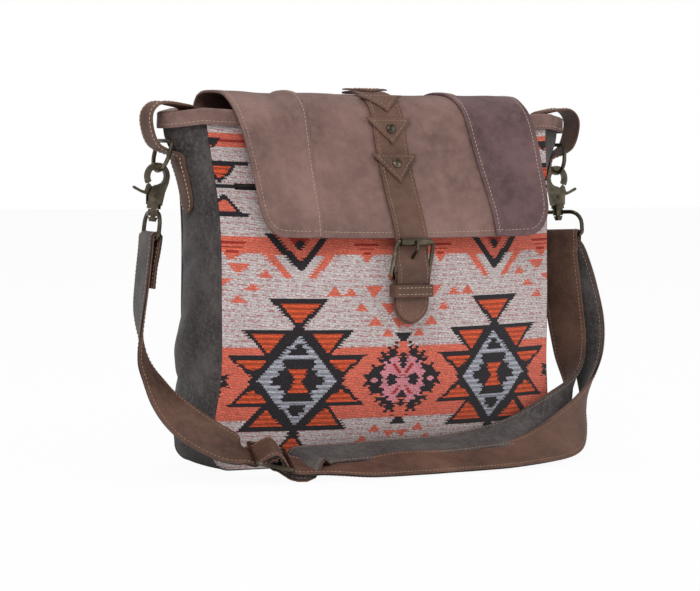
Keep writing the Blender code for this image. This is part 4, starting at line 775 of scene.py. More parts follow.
def leather(name, *tones):
    """Dark, main and pale tones in soft clouds, with pale scuffs, dark pores and a fine grain."""
    dark, main, pale = [linear(*tone) for tone in tones]
    look = Look(name, LEATHER_ROUGHNESS, specular=0.35)
    broad = look.ramp(look.noise(17, 7, 0.66), (0.28, dark), (0.50, main), (0.76, pale))
    mottle = look.noise(130, 4, 0.65)
    scuffed = look.mix(look.ramp(mottle, (0.42, grey(0)), (0.75, grey(0.45))), broad, pale)
    look.colour(look.mix(look.ramp(look.cells(950), (0.0, grey(0.35)), (0.25, grey(0))), scuffed, dark))
    look.rough(mottle, LEATHER_ROUGHNESS - 0.10, LEATHER_ROUGHNESS + 0.14)
    look.bump(look.noise(60, 4, 0.6), 0.35, 0.0012)
    look.bump(look.cells(430, "SMOOTH_F1"), 0.55, 0.0008)
    return look.material


def canvas(name, *tones):
    """Washed cloth: tones in clouds, with pale flecks where the yarns are worn."""
    dark, main, pale = [linear(*tone) for tone in tones]
    look = Look(name, 0.95, sheen=0.15, specular=0.15)
    wash = look.ramp(look.noise(26, 6, 0.7), (0.30, dark), (0.50, main), (0.75, pale))
    flecks = look.ramp(look.noise(330, 3, 0.8), (0.46, grey(0)), (0.74, grey(0.75)))
    look.colour(look.mix(flecks, wash, pale))
    look.bump(look.noise(90, 5, 0.7), 0.5, 0.0012)
    look.bump(look.noise(1100, 2, 0.6), 0.5, 0.0005)
    return look.material


def brass(name):
    look = Look(name, 0.34, metallic=1.0)
    patina = look.noise(75, 4, 0.6)
    look.colour(look.ramp(patina, (0.30, linear(70, 64, 56)), (0.52, linear(98, 90, 76)),
                          (0.76, linear(150, 140, 118))))
    look.rough(patina, 0.36, 0.20)
    look.bump(look.noise(700, 3, 0.6), 0.12, 0.0003)
    return look.material


def thread(name, tone):
    """Twisted yarn, with painted shade: darker in noise patches that stand for the grooves between its turns.
    """
    colour = linear(*tone)
    look = Look(name, 0.8, sheen=0.2, specular=0.2)
    groove_shade = look.ramp(look.noise(1500, 2, 0.5), (0.35, grey(0.5)), (0.65, grey(0)))
    look.colour(look.mix(groove_shade, colour, (*(c * 0.55 for c in colour[:3]), 1.0)))
    return look.material


def weave(name):
    """The woven front: the yarn colours come from the mesh, the floats and their gaps from bricks."""
    look = Look(name, 0.92, sheen=0.25, specular=0.15)
    spots = look.node("ShaderNodeVertexColor", layer_name="yarn")
    look.place = look.node("ShaderNodeUVMap", uv_map="cloth").outputs[0]
    brick = look.node("ShaderNodeTexBrick")
    brick.offset, brick.offset_frequency = 0.36, 2
    settings = {"Scale": 1.0, "Mortar Size": 0.00018, "Mortar Smooth": 0.35, "Bias": 0.0,
                "Brick Width": FLOAT_LENGTH, "Row Height": ROW_HEIGHT, "Color1": WHITE,
                "Color2": (0.84, 0.82, 0.82, 1), "Mortar": (0.50, 0.43, 0.44, 1)}
    for socket, value in settings.items():
        brick.inputs[socket].default_value = value
    slant = look.node("ShaderNodeMapping")
    slant.inputs["Rotation"].default_value = (0.0, 0.0, WEFT_SLANT)
    look.link(look.place, slant.inputs["Vector"])
    look.link(slant.outputs[0], brick.inputs["Vector"])
    fuzz = look.ramp(look.noise(700, 3, 0.7), (0.3, grey(0.74)), (0.7, grey(1.12)))
    yarn = look.mix(1.0, spots.outputs["Color"], brick.outputs["Color"], "MULTIPLY")
    look.colour(look.mix(1.0, yarn, fuzz, "MULTIPLY"))
    look.bump(brick.outputs["Fac"], -0.5, 0.0008)
    look.bump(look.noise(900, 2, 0.6), 0.35, 0.0004)
    return look.material


FLOAT_LENGTH = 0.0042
WEFT_SLANT = math.radians(7)
ROW_HEIGHT = 0.0020
LOOKS = {
    "woven_cotton": weave("front_yarn"),
    "lining": canvas("lining_cloth", (58, 50, 46), (78, 68, 62), (96, 86, 78)),
    "washed_canvas": canvas("dark_canvas", (50, 46, 46), (72, 67, 66), (110, 104, 102)),
    "flap_leather": leather("brown_mauve_leather", (92, 68, 63), (124, 95, 88), (152, 121, 112)),
    # The right panel's leather: a darker copy of the flap leather, painted shade where the light falls off on
    # that side.
    "flap_leather_painted_shade": leather("shaded_copy_of_flap_leather", (70, 48, 50), (100, 74, 75), (128, 100, 100)),
    "strap_leather": leather("dark_brown_leather", (62, 44, 36), (96, 69, 57), (126, 94, 80)),
    "antique_brass": brass("dark_antique_brass"),
    # Dark cloth: the zip tape's own colour, and painted shade on the woven cloth's turned-in edges at the
    # zip.
    "zip_cloth": canvas("zip_cloth", (28, 24, 26), (38, 32, 34), (58, 46, 48)),
    "pale_thread": thread("pale_thread", (204, 182, 158)),
    "tan_thread": thread("tan_thread", (176, 140, 116)),
}


# Making pieces
SHARP_ANGLE = math.radians(48)
EDGE_DROP = 0.0005
THREAD_LIFT = 0.0001


def put(name, mesh, look, body, stands_for=()):
    """A piece of the scene on a body, standing for these CAD nodes."""
    piece = bpy.data.objects.new(name, mesh)
    bpy.context.scene.collection.objects.link(piece)
    mesh.materials.clear()
    mesh.materials.append(LOOKS[look])
    mesh.shade_smooth()
    mesh.set_sharp_from_angle(angle=SHARP_ANGLE)
    if body:
        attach(piece, body)
    if stands_for:
        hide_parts(*stands_for)
    return piece


def mesh_of(name, points, faces):
    mesh = bpy.data.meshes.new(name)
    mesh.from_pydata([tuple(p) for p in points], [], faces)
    mesh.update()
    return mesh


def closed_mesh(name, points, faces):
    """A mesh whose faces all look outwards."""
    mesh = mesh_of(name, points, faces)
    bm = bmesh.new()
    bm.from_mesh(mesh)
    bmesh.ops.recalc_face_normals(bm, faces=bm.faces)
    if bm.calc_volume(signed=True) < 0:
        bmesh.ops.reverse_faces(bm, faces=bm.faces)
    bm.to_mesh(mesh)
    bm.free()
    return mesh


def sheet(name, front, back):
    """A closed sheet from two grids of points, the front one facing out."""
    rows, columns = len(front), len(front[0])
    points = [p for row in front for p in row] + [p for row in back for p in row]
    half = rows * columns
    faces = []
    for i in range(rows - 1):
        for j in range(columns - 1):
            a = i * columns + j
            quad = (a, a + 1, a + columns + 1, a + columns)
            faces += [quad, tuple(half + v for v in reversed(quad))]
    rim = list(range(columns))
    rim += [i * columns + columns - 1 for i in range(1, rows)]
    rim += [(rows - 1) * columns + j for j in range(columns - 2, -1, -1)]
    rim += [i * columns for i in range(rows - 2, 0, -1)]
    for a, b in zip(rim, rim[1:] + rim[:1]):
        faces.append((b, a, half + a, half + b))
    return closed_mesh(name, points, faces)


def tube_of(name, sections, closed=False):
    """A closed mesh through rings of equal count."""
    count = len(sections[0])
    points = [p for ring in sections for p in ring]
    faces = []
    last = len(sections)
    for i in range(last if closed else last - 1):
        for k in range(count):
            a, b = i * count + k, i * count + (k + 1) % count
            c, d = (i + 1) % last * count + k, (i + 1) % last * count + (k + 1) % count
            faces.append((a, b, d, c))
    if not closed:
        faces.append(tuple(reversed(range(count))))
        faces.append(tuple(range((last - 1) * count, last * count)))
    return closed_mesh(name, points, faces)


def turns(count):
    """The angles of this many points round a ring."""
    return [2 * math.pi * n / count for n in range(count)]


def ripple(at, scale, seed=0.0):
    """Smooth unevenness from -1 to 1."""
    return noise.noise(Vector((at.x + seed, at.y, at.z)) * scale)


def along_path(points, spacing):
    """(point, direction) at even spacing along a path."""
    found, carry = [], spacing / 2
    for a, b in zip(points, points[1:]):
        length = (b - a).length
        if length < 1e-7:
            continue
        run = (b - a) / length
        while carry <= length:
            found.append((a + run * carry, run))
            carry += spacing
        carry -= length
    return found


# A stitch's rings: (place along it, share of its width, height of its crest in widths).
STITCH_RINGS = ((-1.0, 0.25, -0.3), (-0.72, 1.0, 0.55), (0.0, 1.1, 0.8), (0.72, 1.0, 0.55), (1.0, 0.25, -0.3))
STITCH_LENGTH = 0.0025
STITCH_SPACING = 0.0035
THREAD_WIDTH = 0.00055
THICK_THREAD = 0.0006


def stitch_mesh(name, lines, length, spacing, width):
    """Rows of stitches: each is a small low loaf of thread. Lines hold (points, normals at the points)."""
    points, faces = [], []
    chance = random.Random(7)
    for path, facing in lines:
        for at, run in along_path(path, spacing):
            near = min(range(len(path)), key=lambda k: (path[k] - at).length_squared)
            up = facing[near]
            side = run.cross(up).normalized()
            run = (run + side * chance.uniform(-0.10, 0.10)).normalized()
            long = length * chance.uniform(0.9, 1.08) / 2
            first = len(points)
            sink = up * width * 0.25
            for place, share, crest in STITCH_RINGS:
                middle = at + run * (long * place)
                half = side * (width / 2 * share)
                points += [middle - half - sink, middle + up * width * crest, middle + half - sink]
            for k in range(len(STITCH_RINGS) - 1):
                a = first + 3 * k
                faces += [(a, a + 1, a + 4, a + 3), (a + 1, a + 2, a + 5, a + 4), (a + 2, a, a + 3, a + 5)]
            faces += [(first + 2, first + 1, first), (first + 12, first + 13, first + 14)]
    return mesh_of(name, points, faces)


def stitches(name, lines, body, look="pale_thread", width=THREAD_WIDTH):
    return put(name, stitch_mesh(name, lines, STITCH_LENGTH, STITCH_SPACING, width), look, body)


# The weave, laid out in millimetres on the panel and mirrored about its middle. Shapes later in a
# list cover earlier ones. Each is (yarn, points).
YARNS = {
    "ground": linear(222, 212, 210), "rose": linear(204, 158, 158), "orange": linear(246, 104, 64),
    "coral": linear(244, 122, 98), "black": linear(52, 48, 52), "silver": linear(196, 200, 212),
    "pink": linear(232, 152, 164), "wine": linear(178, 58, 50),
}
DIAMOND_X, DIAMOND_Z = 91.0, 72.0


def plain(yarn, x, base_z, tip_z, half):
    """A triangle with its flat edge at base_z and its point at tip_z."""
    return (yarn, ((x - half, base_z), (x + half, base_z), (x, tip_z)))


def lozenge(yarn, x, z, half, high):
    return (yarn, ((x - half, z), (x, z - high), (x + half, z), (x, z + high)))


def triangle(yarn, x, base_z, tip_z, half, border=4.3):
    """The same with a dark border."""
    way = 1 if tip_z > base_z else -1
    inset = border * (tip_z - base_z) * way / half * 0.55 + border * 0.6
    inner = plain(yarn, x, base_z + way * border * 0.8, tip_z - way * inset, half - border * 1.7)
    return [plain("black", x, base_z, tip_z, half), inner]


def oblong(yarn, x0, x1, z0, z1):
    return (yarn, ((x0, z0), (x1, z0), (x1, z1), (x0, z1)))


def star_diamond():
    x, z = DIAMOND_X, DIAMOND_Z
    shapes = triangle("orange", x, z + 65, z + 39, 24)
    shapes += triangle("orange", x, z - 62, z - 38, 17)
    for side in (-1, 1):
        for across, base, tip in ((24.5, 40.5, 17), (36.5, 20, 2), (24.5, -40.5, -17), (36.5, -21, -2)):
            shapes += triangle("orange", x + side * across, z + base, z + tip, 21)
    shapes += [lozenge("black", x, z, 40, 46.5), lozenge("silver", x, z, 32.5, 36.5)]
    for way in (-1, 1):
        for half, low, high in ((7, 20, 25.5), (3, 25, 29), (13, 11, 17)):
            shapes.append(oblong("black", x - half, x + half, z + way * low, z + way * high))
        for near, far, high in ((15, 21, 3.5), (10.5, 15.5, 8)):
            shapes.append(oblong("black", x + way * near, x + way * far, z - high, z + high))
    shapes.append(oblong("black", x - 11, x + 11, z - 12, z + 12))
    for way in (-1, 1):
        shapes.append(plain("orange", x, z + way * 9.5, z - way * 4, 8.5))
    shapes.append(oblong("orange", x - 3.6, x + 3.6, z - 4, z + 4))
    return shapes


def burst(yarn, x, z, quarter):
    """A closed shape through corners given for its upper right quarter, each as (across, up)."""
    half = [*quarter, *((a, -u) for a, u in reversed(quarter))]
    whole = half + [(-a, u) for a, u in reversed(half)]
    return (yarn, tuple((x + a, z + u) for a, u in whole))


def placed(yarn, x, z, across, way, corners):
    """A shape given for the upper right side of (x, z), turned to the side that across and way name."""
    return (yarn, tuple((x + across * a, z + way * u) for a, u in corners))


# The medallion's black flames and pink heart, as corners of its upper right quarter.
FLAMES = ((0.6, 14), (5, 20), (6.5, 31), (10, 24), (13.5, 29), (14.5, 20), (20, 25), (19.5, 16), (25, 19),
          (23, 10), (29, 13), (30, 4), (36, 6), (34, 0))
HEART = ((0.6, 9), (4, 15), (7, 22), (9, 17), (12.5, 19.5), (13, 13), (17.5, 15), (17, 8), (21, 6), (19, 2))


def medallion(x):
    """The pink star between the diamonds, whole in the middle and cut by the seams at the sides."""
    z = DIAMOND_Z - 0.5
    shapes = [plain("black", x, z + way * 37.5, z + way * 29.5, 8.5) for way in (-1, 1)]
    shapes += [burst("black", x, z, FLAMES), burst("pink", x, z, HEART)]
    for across in (-1, 1):
        shapes.append(placed("pink", x, z, across, 1, ((24, -3.5), (30, 0), (24, 3.5))))
        for way in (1, -1):
            shapes.append(placed("coral", x, z, across, way, ((21.5, 11), (24.5, 15), (19, 14))))
        for way in (-1, 1):
            shapes.append(placed("wine", x, z, across, way, ((0, 0), (9, 12), (6.5, 13))))
            shapes.append(placed("black", x, z, across, way, ((3, 1.2), (12, 6), (15, 0), (9, 0))))
    for way in (-1, 1):
        shapes.append(plain("coral", x, z + way * 31, z + way * 16, 5.5))
        shapes.append(plain("black", x, z + way * 22, z + way * 9, 3.0))
    return shapes


def top_stripe():
    shapes = [oblong("coral", 0, 200, 255, 266), oblong("wine", 120, 150, 258.5, 260.5),
              plain("black", 155, 262, 254, 9)]
    shapes += triangle("orange", 151, 243, 226, 17, 3.4)
    shapes += [oblong("black", 126, 170, 240.5, 244), oblong("black", 138, 158, 222.8, 225.4)]
    shapes += triangle("coral", 150, 202.5, 219, 16, 3.4)
    return shapes + [oblong("black", 130, 170, 200.5, 203.5)]


def band_below_flap():
    """The coral band just under the flap's edge, with the points of the star above it."""
    shapes = [oblong("coral", 0, 200, 173, 186)]
    for x in (34.5, 144):
        shapes.append(plain("coral", x, 174, 166, 8))
        for half, low in ((10, 180), (7, 176.5), (4, 173)):
            shapes.append(oblong("wine", x - half, x + half, low, low + 1.5))
    x = DIAMOND_X
    shapes += [("coral", ((50, 186), (132, 186), (104, 154), (78, 154))), plain("ground", x, 172, 146, 21),
               plain("black", x, 189, 158, 28), plain("coral", x, 189, 166, 20),
               plain("wine", x, 189, 174, 12), lozenge("black", x, 180, 5, 5)]
    return shapes


# Loose small triangles, as (across, height, 1 where the point is up): two falling wedges below the
# band, and a few under the diamonds.
WEDGES = ((48, 143, 1), (28, 143, -1), (62, 143, 1), (38, 131, 1), (13, 129, -1), (26, 119, 1), (0, 141, -1),
          (15, 110, 1), (4, 117, -1), (118, 157, 1), (139, 160, -1), (129, 147, 1), (153, 148, -1),
          (140, 137, 1), (158, 128, 1), (8, 152, -1))
LOW_TRIANGLES = ((20, 31, 1), (-8, 32, 1), (6, 26, -1), (30, 22, 1), (-17, 23, 1), (16, 15, -1), (-5, 15, 1),
                 (40, 12, 1), (-28, 14, 1), (145, 29, -1), (139, 17, 1), (8, 10, 1))


def pattern():
    """Every shape of the weave, the broad coral band behind the diamonds and medallions among them."""
    shapes = top_stripe() + band_below_flap()
    for x, z, way in WEDGES:
        high, half = (9, 8.5) if way < 0 else (7, 6.5)
        shapes.append(plain("coral", x, z - way * high / 2, z + way * high / 2, half))
    shapes += [oblong("coral", 0, 200, 40, 98), *star_diamond(), *medallion(0), *medallion(2 * DIAMOND_X)]
    for x, z, way in LOW_TRIANGLES:
        shapes.append(plain("coral" if z > 20 else "wine", x, z - way * 3, z + way * 3.5, 6))
    return shapes


def inside(points, x, z):
    """Which of these places lie inside a polygon."""
    found = np.zeros(x.shape, bool)
    for (x0, z0), (x1, z1) in zip(points, points[1:] + points[:1]):
        crosses = (z0 > z) != (z1 > z)
        with np.errstate(divide="ignore", invalid="ignore"):
            found ^= crosses & (x < (x1 - x0) * (z - z0) / (z1 - z0) + x0)
    return found


# Share of pink floats in the ground, and how far one float's shade strays from its yarn.
ROSE_SHARE = 0.40
YARN_UNEVENNESS = 0.13


def yarn_colours(x, z, row):
    """The colour of each float: x and z in millimetres at its middle."""
    rng = np.random.default_rng(11)
    names = list(YARNS)
    colours = np.array([YARNS[n][:3] for n in names])
    kind = np.zeros(x.shape, int)
    kind[(row % 2 == 1) & (rng.random(x.shape) < ROSE_SHARE)] = names.index("rose")
    across = np.abs(x)
    for yarn, points in pattern():
        kind[inside(tuple(points), across, z)] = names.index(yarn)
    shade = colours[kind]
    for yarns, share, lift in ((("orange", "silver"), 0.56, 0.010), (("coral",), 0.86, 0.03)):
        lined = np.isin(kind, [names.index(n) for n in yarns]) & (row % 2 == 0)
        shade = np.where(lined[:, None], shade * share + lift, shade)
    return shade * (1 + rng.uniform(-YARN_UNEVENNESS, YARN_UNEVENNESS, x.shape))[:, None]


ZIP_OPEN_HALF = 0.0023

WEAVE_COLUMNS = 186
WEAVE_ROWS = 141
WEFT_RELIEF = 0.00022


# The cloth lies flat near its seams, near the rim and at the zip.
SEAM_EASE, RIM_EASE, ZIP_EASE = 0.03, 0.04, 0.02
RIM_FLAT_Z = 0.262


def weave_grid():
    """The cloth's points, and their flat places (across, up) for the yarns."""
    points, places = [], []
    for k in range(2 * WEAVE_ROWS + 1):
        z = RIM_HEIGHT * k / (2 * WEAVE_ROWS)
        crest = WEFT_RELIEF if k % 2 else -WEFT_RELIEF
        for c in range(WEAVE_COLUMNS + 1):
            x = outline_x(z) * (2 * c / WEAVE_COLUMNS - 1)
            flat = Vector((x, 0, z))
            soft = 0.0016 * ripple(flat, 11, 3) + 0.0007 * ripple(flat, 34, 5)
            free = min(1.0, (SEAM_HALF_WIDTH - abs(x)) / SEAM_EASE + 0.15)
            free *= min(1.0, (RIM_FLAT_Z - z) / RIM_EASE if z < RIM_FLAT_Z else 0)
            free = max(0.0, free) * min(1.0, abs(z - ZIP_HEIGHT) / ZIP_EASE)
            points.append((x, front_y(x, z) - crest - 0.0002 + free * soft * 0.8, cloth_height(x, z)))
            places.append((x, z))
    return points, places


def weave_floats(places):
    """The cloth's faces, less the zip's slit, and each face's float as (across, up, row)."""
    wide = WEAVE_COLUMNS + 1
    faces, floats = [], []
    for i in range(2 * WEAVE_ROWS):
        row = i // 2
        shift = row % 2
        for c in range(WEAVE_COLUMNS):
            a = i * wide + c
            x = (places[a][0] + places[a + 1][0]) / 2
            z = (places[a][1] + places[a + wide][1]) / 2
            if abs(z - ZIP_HEIGHT) < ZIP_OPEN_HALF and abs(x) < ZIP_HALF_LENGTH:
                continue
            faces.append((a, a + 1, a + wide + 1, a + wide))
            middle = (c + shift) // 2 * 2 - shift + 1
            floats.append((2000 * outline_x(z) * (middle / WEAVE_COLUMNS - 0.5), z * 1000, row))
    return faces, np.array(floats)


def build_weave():
    """The woven front: one face for each half float, coloured by its yarn."""
    points, places = weave_grid()
    faces, floats = weave_floats(places)
    mesh = mesh_of("woven_front", points, faces)
    shades = yarn_colours(floats[:, 0], floats[:, 1], floats[:, 2].astype(int))
    shades = np.hstack([np.clip(shades, 0, 1), np.ones((len(shades), 1))])
    yarn = mesh.color_attributes.new("yarn", "FLOAT_COLOR", "CORNER")
    yarn.data.foreach_set("color", np.repeat(shades, 4, axis=0).astype(np.float32).ravel())
    cloth = mesh.uv_layers.new(name="cloth")
    cloth.data.foreach_set("uv", np.array(places, np.float32)[np.array(faces).ravel()].ravel())
    put("woven_front", mesh, "woven_cotton", "bag", ("front_panel",))


# Cloth and leather of the body
LINING_ROWS = 39
LINING_COLUMNS = 40
LINING_FRONT = 0.0016
LINING_BACK = PANEL_THICKNESS + 0.0004
LINING_HOLE_HALF = 0.0052
LINING_HOLE_END = 0.004


def panel_row(face, z, columns, depth):
    """A row of points across a panel, this far behind its outer face."""
    places = [outline_x(z) * (2 * c / columns - 1) for c in range(columns + 1)]
    return [Vector((x, face(x, z) + depth, cloth_height(x, z))) for x in places]


def build_lining():
    """The inside of the front panel, with a hole behind the zip."""
    levels = [RIM_HEIGHT * k / LINING_ROWS for k in range(LINING_ROWS + 1)]
    front, back = ([panel_row(front_y, z, LINING_COLUMNS, depth) for z in levels]
                   for depth in (LINING_FRONT, LINING_BACK))
    mesh = sheet("front_lining", front, back)
    bm = bmesh.new()
    bm.from_mesh(mesh)
    middles = {face: face.calc_center_median() for face in bm.faces}
    cut_out = [face for face, at in middles.items() if abs(at.z - ZIP_HEIGHT) < LINING_HOLE_HALF
               and abs(at.x) < ZIP_HALF_LENGTH - LINING_HOLE_END]
    bmesh.ops.delete(bm, geom=cut_out, context="FACES")
    bm.to_mesh(mesh)
    bm.free()
    put("front_lining", mesh, "lining", "bag", ("front_panel",))


ZIP_EDGE_STEPS = 56
ZIP_EDGE_UP, ZIP_EDGE_DEEP = 0.0005, 0.0007


def build_zip_edges():
    """The two turned-in edges of the woven cloth along the zip, coloured dark as painted shade in the fold.
    """
    for way, end in ((-1, "low"), (1, "high")):
        z = ZIP_HEIGHT + way * (ZIP_OPEN_HALF + 0.0003)
        sections = []
        for k in range(ZIP_EDGE_STEPS + 1):
            x = ZIP_HALF_LENGTH * (2 * k / ZIP_EDGE_STEPS - 1)
            y = front_y(x, z) + 0.0004
            sections.append([Vector((x, y + ZIP_EDGE_DEEP * math.sin(a), z + way * ZIP_EDGE_UP * math.cos(a)))
                             for a in turns(8)])
        put(f"zip_edge_{end}", tube_of(f"zip_edge_{end}", sections), "zip_cloth", "bag")


def canvas_fold(at):
    """Folds of the washed canvas, in metres along its normal."""
    soft = 0.0036 * ripple(at, 12, 1.7) + 0.0015 * ripple(at, 36, 4.1) + 0.0005 * ripple(at, 95, 9.2)
    crease = -0.0034 * math.exp(-((at.z - 0.168 + 0.25 * at.y) / 0.0060) ** 2)
    crease -= 0.0022 * math.exp(-((at.z - 0.060 - 0.35 * at.y) / 0.0050) ** 2)
    return soft + crease


# The canvas swells out between its creases, less on the right: (swell, place in Z, reach in Z).
LOBES = ((0.0090, 0.034, 0.030), (0.0082, 0.090, 0.029), (0.0036, 0.172, 0.016))
RIGHT_SWELL = 0.4
GUSSET_STEPS = 74


# Behind the tab's tail, from this height up, the canvas doesn't swell.
BEHIND_TAB_Z = 0.19
TAB_EASE = 0.004


def gusset_rows():
    """The gusset's outer face from tip to tip round the bottom, and each row's share of its folds."""
    half, shares = [], []
    for z in spread(RIM_HEIGHT, CORNER_RADIUS, GUSSET_STEPS):
        half.append(gusset_row(seam_x(z), z, 1.0, 0.0, gusset_reach(z)))
        free = min(1.0, max(0.0, (RIM_FLAT_Z - z) / 0.03))
        shares.append(free * (0.45 if 0.196 < z < RIM_FLAT_Z else 1.0))
    for k, (x, z, turn) in enumerate(corner_arc(8), 1):
        reach = gusset_reach(CORNER_RADIUS) * max(0.0, math.cos(turn)) ** 1.5
        half.append(gusset_row(x, z, math.cos(turn), -math.sin(turn), reach))
        shares.append(max(0.0, 1 - k / 3))
    for k in range(1, 16):
        half.append(gusset_row(CORNER_X * (1 - k / 15), 0.0, 0.0, -1.0, 0.0))
        shares.append(0.0)
    return half + [mirrored(row) for row in reversed(half[:-1])], shares + shares[-2::-1]


def gusset_fold(at, share, column):
    """How far the canvas stands out of its plain form here."""
    middle = math.sin(math.pi * column / GUSSET_COLUMNS) ** 0.6 if 0 < column < GUSSET_COLUMNS else 0.0
    swell = sum(high * math.exp(-((at.z - place) / reach) ** 2) for high, place, reach in LOBES)
    fold = (canvas_fold(at) + swell * (1.0 if at.x < 0 else RIGHT_SWELL)) * share * middle
    behind_tab = at.z > BEHIND_TAB_Z and abs(at.y - TAB_Y) < TAB_WIDTH / 2 + TAB_EASE
    return min(fold, 0.0) if behind_tab else fold


def build_gusset():
    """The canvas strip round the sides and the bottom."""
    outer, shares = gusset_rows()
    normals = grid_normals(outer)
    if normals[10][8].x < 0:
        normals = [[-n for n in row] for row in normals]
    moved = [[p + n * gusset_fold(p, share, c) for c, (p, n) in enumerate(zip(row, line))]
             for row, line, share in zip(outer, normals, shares)]
    inner = [[p - n * GUSSET_THICKNESS for p, n in zip(row, line)] for row, line in zip(moved, normals)]
    put("canvas_gusset", sheet("canvas_gusset", moved, inner), "washed_canvas", "bag", ("gusset",))


BACK_STEPS = 60
BACK_FLAT_Z = 0.225


def soft_back_y(x, z):
    """The back panel's outer face with soft folds, flat at its seams, under the flap's strip and below."""
    free = min(1.0, (SEAM_HALF_WIDTH - abs(x)) / 0.04)
    free *= min(1.0, max(0.0, (BACK_FLAT_Z - z) / 0.03)) * min(1.0, z / 0.02)
    at = Vector((x, 0.3, z))
    return back_y(x, z) + free * (0.0016 * ripple(at, 10) + 0.0007 * ripple(at, 32))


def build_back():
    """The canvas back panel."""
    levels = [RIM_HEIGHT * k / BACK_STEPS for k in range(BACK_STEPS + 1)]
    outer, inner = ([panel_row(soft_back_y, z, BACK_STEPS, depth) for z in levels]
                    for depth in (0.0, -PANEL_THICKNESS))
    put("canvas_back", sheet("canvas_back", outer, inner), "washed_canvas", "bag", ("back_panel",))


PIPING_TOP = RIM_HEIGHT - 0.010
PIPING_SHIFT = 0.0014
PIPING_ACROSS, PIPING_DEEP = 0.0009, 0.0015


def build_piping():
    """The turned seams where the front and back panels meet the gusset."""
    ahead = Vector((0, 1, 0))
    for name, face, shift in (("front_seam", front_y, PIPING_SHIFT), ("back_seam", back_y, -PIPING_SHIFT)):
        path = []
        for k in range(60):
            z = PIPING_TOP - (PIPING_TOP - CORNER_RADIUS) * k / 59
            path.append(Vector((seam_x(z), face(seam_x(z), z) + shift, z)))
        for x, low, turn in corner_arc(8):
            z = low + 0.0008 * math.sin(turn)
            path.append(Vector((x, face(x, max(z, 0.001)) + shift, z)))
        for k in range(1, 14):
            x = CORNER_X * (1 - k / 13)
            path.append(Vector((x, face(x, 0.001) + shift, PIPING_ACROSS)))
        path += mirrored(reversed(path[:-1]))
        sections = []
        for i, at in enumerate(path):
            side = heading(path, i).cross(ahead).normalized()
            sections.append([at + side * (PIPING_ACROSS * math.cos(a)) + ahead * (PIPING_DEEP * math.sin(a))
                             for a in turns(8)])
        put(name, tube_of(name, sections), "washed_canvas", "bag")


BINDING_WALL = BINDING_GROOVE / 2 + BINDING_THICKNESS
BINDING_TOP = GAP + BINDING_THICKNESS
BINDING_BOTTOM = BINDING_TOP - BINDING_HEIGHT
BINDING_ROUND = 0.002
BINDING_STITCH_RISE = 0.0028


def binding_outline():
    """The binding's section as (out, up) from the cloth's top edge: a low arch over a groove."""
    wall, inner, top, bottom = BINDING_WALL, BINDING_GROOVE / 2, BINDING_TOP, BINDING_BOTTOM
    soft = 0.0002
    outline = [(wall, bottom + 0.0004), (wall, bottom + 0.004), (wall - soft, top - 0.003)]
    outline += [(wall + BINDING_ROUND * (math.cos(a) - 1), top + BINDING_ROUND * (math.sin(a) - 1))
                for a in (0.35, 0.8, 1.25)]
    outline += [(0.0, top + 0.0001)]
    outline += [(-x, z) for x, z in reversed(outline[:-1])]
    return outline + [(-wall + soft, bottom), (-inner, bottom), (-inner, GAP), (inner, GAP), (inner, bottom),
                      (wall - soft, bottom)]


def build_binding():
    """The leather strip folded over the cloth's top edge, with a row of stitches on each face."""
    path = smooth(rim_path() + rim_path()[:1], 4)[:-1]
    outline, groove = binding_outline(), BINDING_GROOVE / 2 + 0.0002
    sections, count = [], len(path)
    rails = {1: ([], []), -1: ([], [])}
    for i, at in enumerate(path):
        along = (path[(i + 1) % count] - path[i - 1]).normalized()
        out = Vector((along.y, -along.x, 0))
        edge = Vector((at.x, at.y, at.z + rim_z(at.x)))
        puff = 1 + 0.05 * ripple(Vector((at.x, at.y, 0)), 45, 2)
        sections.append([edge + out * (o * (puff if abs(o) > groove else 1)) + Vector((0, 0, h))
                         for o, h in outline])
        for way, (points, normals) in rails.items():
            rise = Vector((0, 0, BINDING_BOTTOM + BINDING_STITCH_RISE))
            points.append(edge + out * (way * (BINDING_WALL + THREAD_LIFT)) + rise)
            normals.append(out * way)
    put("leather_binding", tube_of("leather_binding", sections, closed=True), "flap_leather", "bag",
        ("top_binding",))
    lines = [(points + points[:1], normals + normals[:1]) for points, normals in rails.values()]
    stitches("binding_stitches", lines, "bag")


# The flap
FLAP_STEPS_DOWN = 70
FLAP_COLUMNS = 34
FLAP_END = FLAP_LENGTH - 1e-6


# The last row and column lie this far in from the flap's edge; a lap slopes down over this width.
EDGE_WIDTH = 0.0006
LAP_SLOPE = 0.0025
LEAST_BEYOND_LAP = 0.004
RAISED = FLAP_THICKNESS + GAP
CALM_HALF_WIDTH = 0.030


def flap_fold(x, travel):
    """Soft unevenness of the flap's leather, only inwards under the centre strap and its patches."""
    at = Vector((x, travel, 0.2))
    value = 0.0018 * ripple(at, 14, 2.2) + 0.0006 * ripple(at, 45, 6.0)
    if abs(x) < CALM_HALF_WIDTH:
        return -abs(value) * 0.5
    free = min(1.0, travel / 0.03)
    return value * free * (min(1.0, (abs(x) - CALM_HALF_WIDTH) / 0.02) if value > 0 else 1.0)


def half_width_at(travel):
    """Half the flap's width this far along it, drawn in round the lower corners."""
    half = FLAP_TOP_HALF_WIDTH + (FLAP_BOTTOM_HALF_WIDTH - FLAP_TOP_HALF_WIDTH) * travel / FLAP_LENGTH
    left = FLAP_LENGTH - travel
    if left >= FLAP_CORNER_RADIUS:
        return half
    inset = FLAP_CORNER_RADIUS - left
    return half - FLAP_CORNER_RADIUS + math.sqrt(max(0.0, FLAP_CORNER_RADIUS ** 2 - inset ** 2))


def seam_at(travel):
    """Half the width of the flap's middle panel this far along it."""
    return SEAM_TOP_X + (SEAM_BOTTOM_X - SEAM_TOP_X) * travel / FLAP_LENGTH


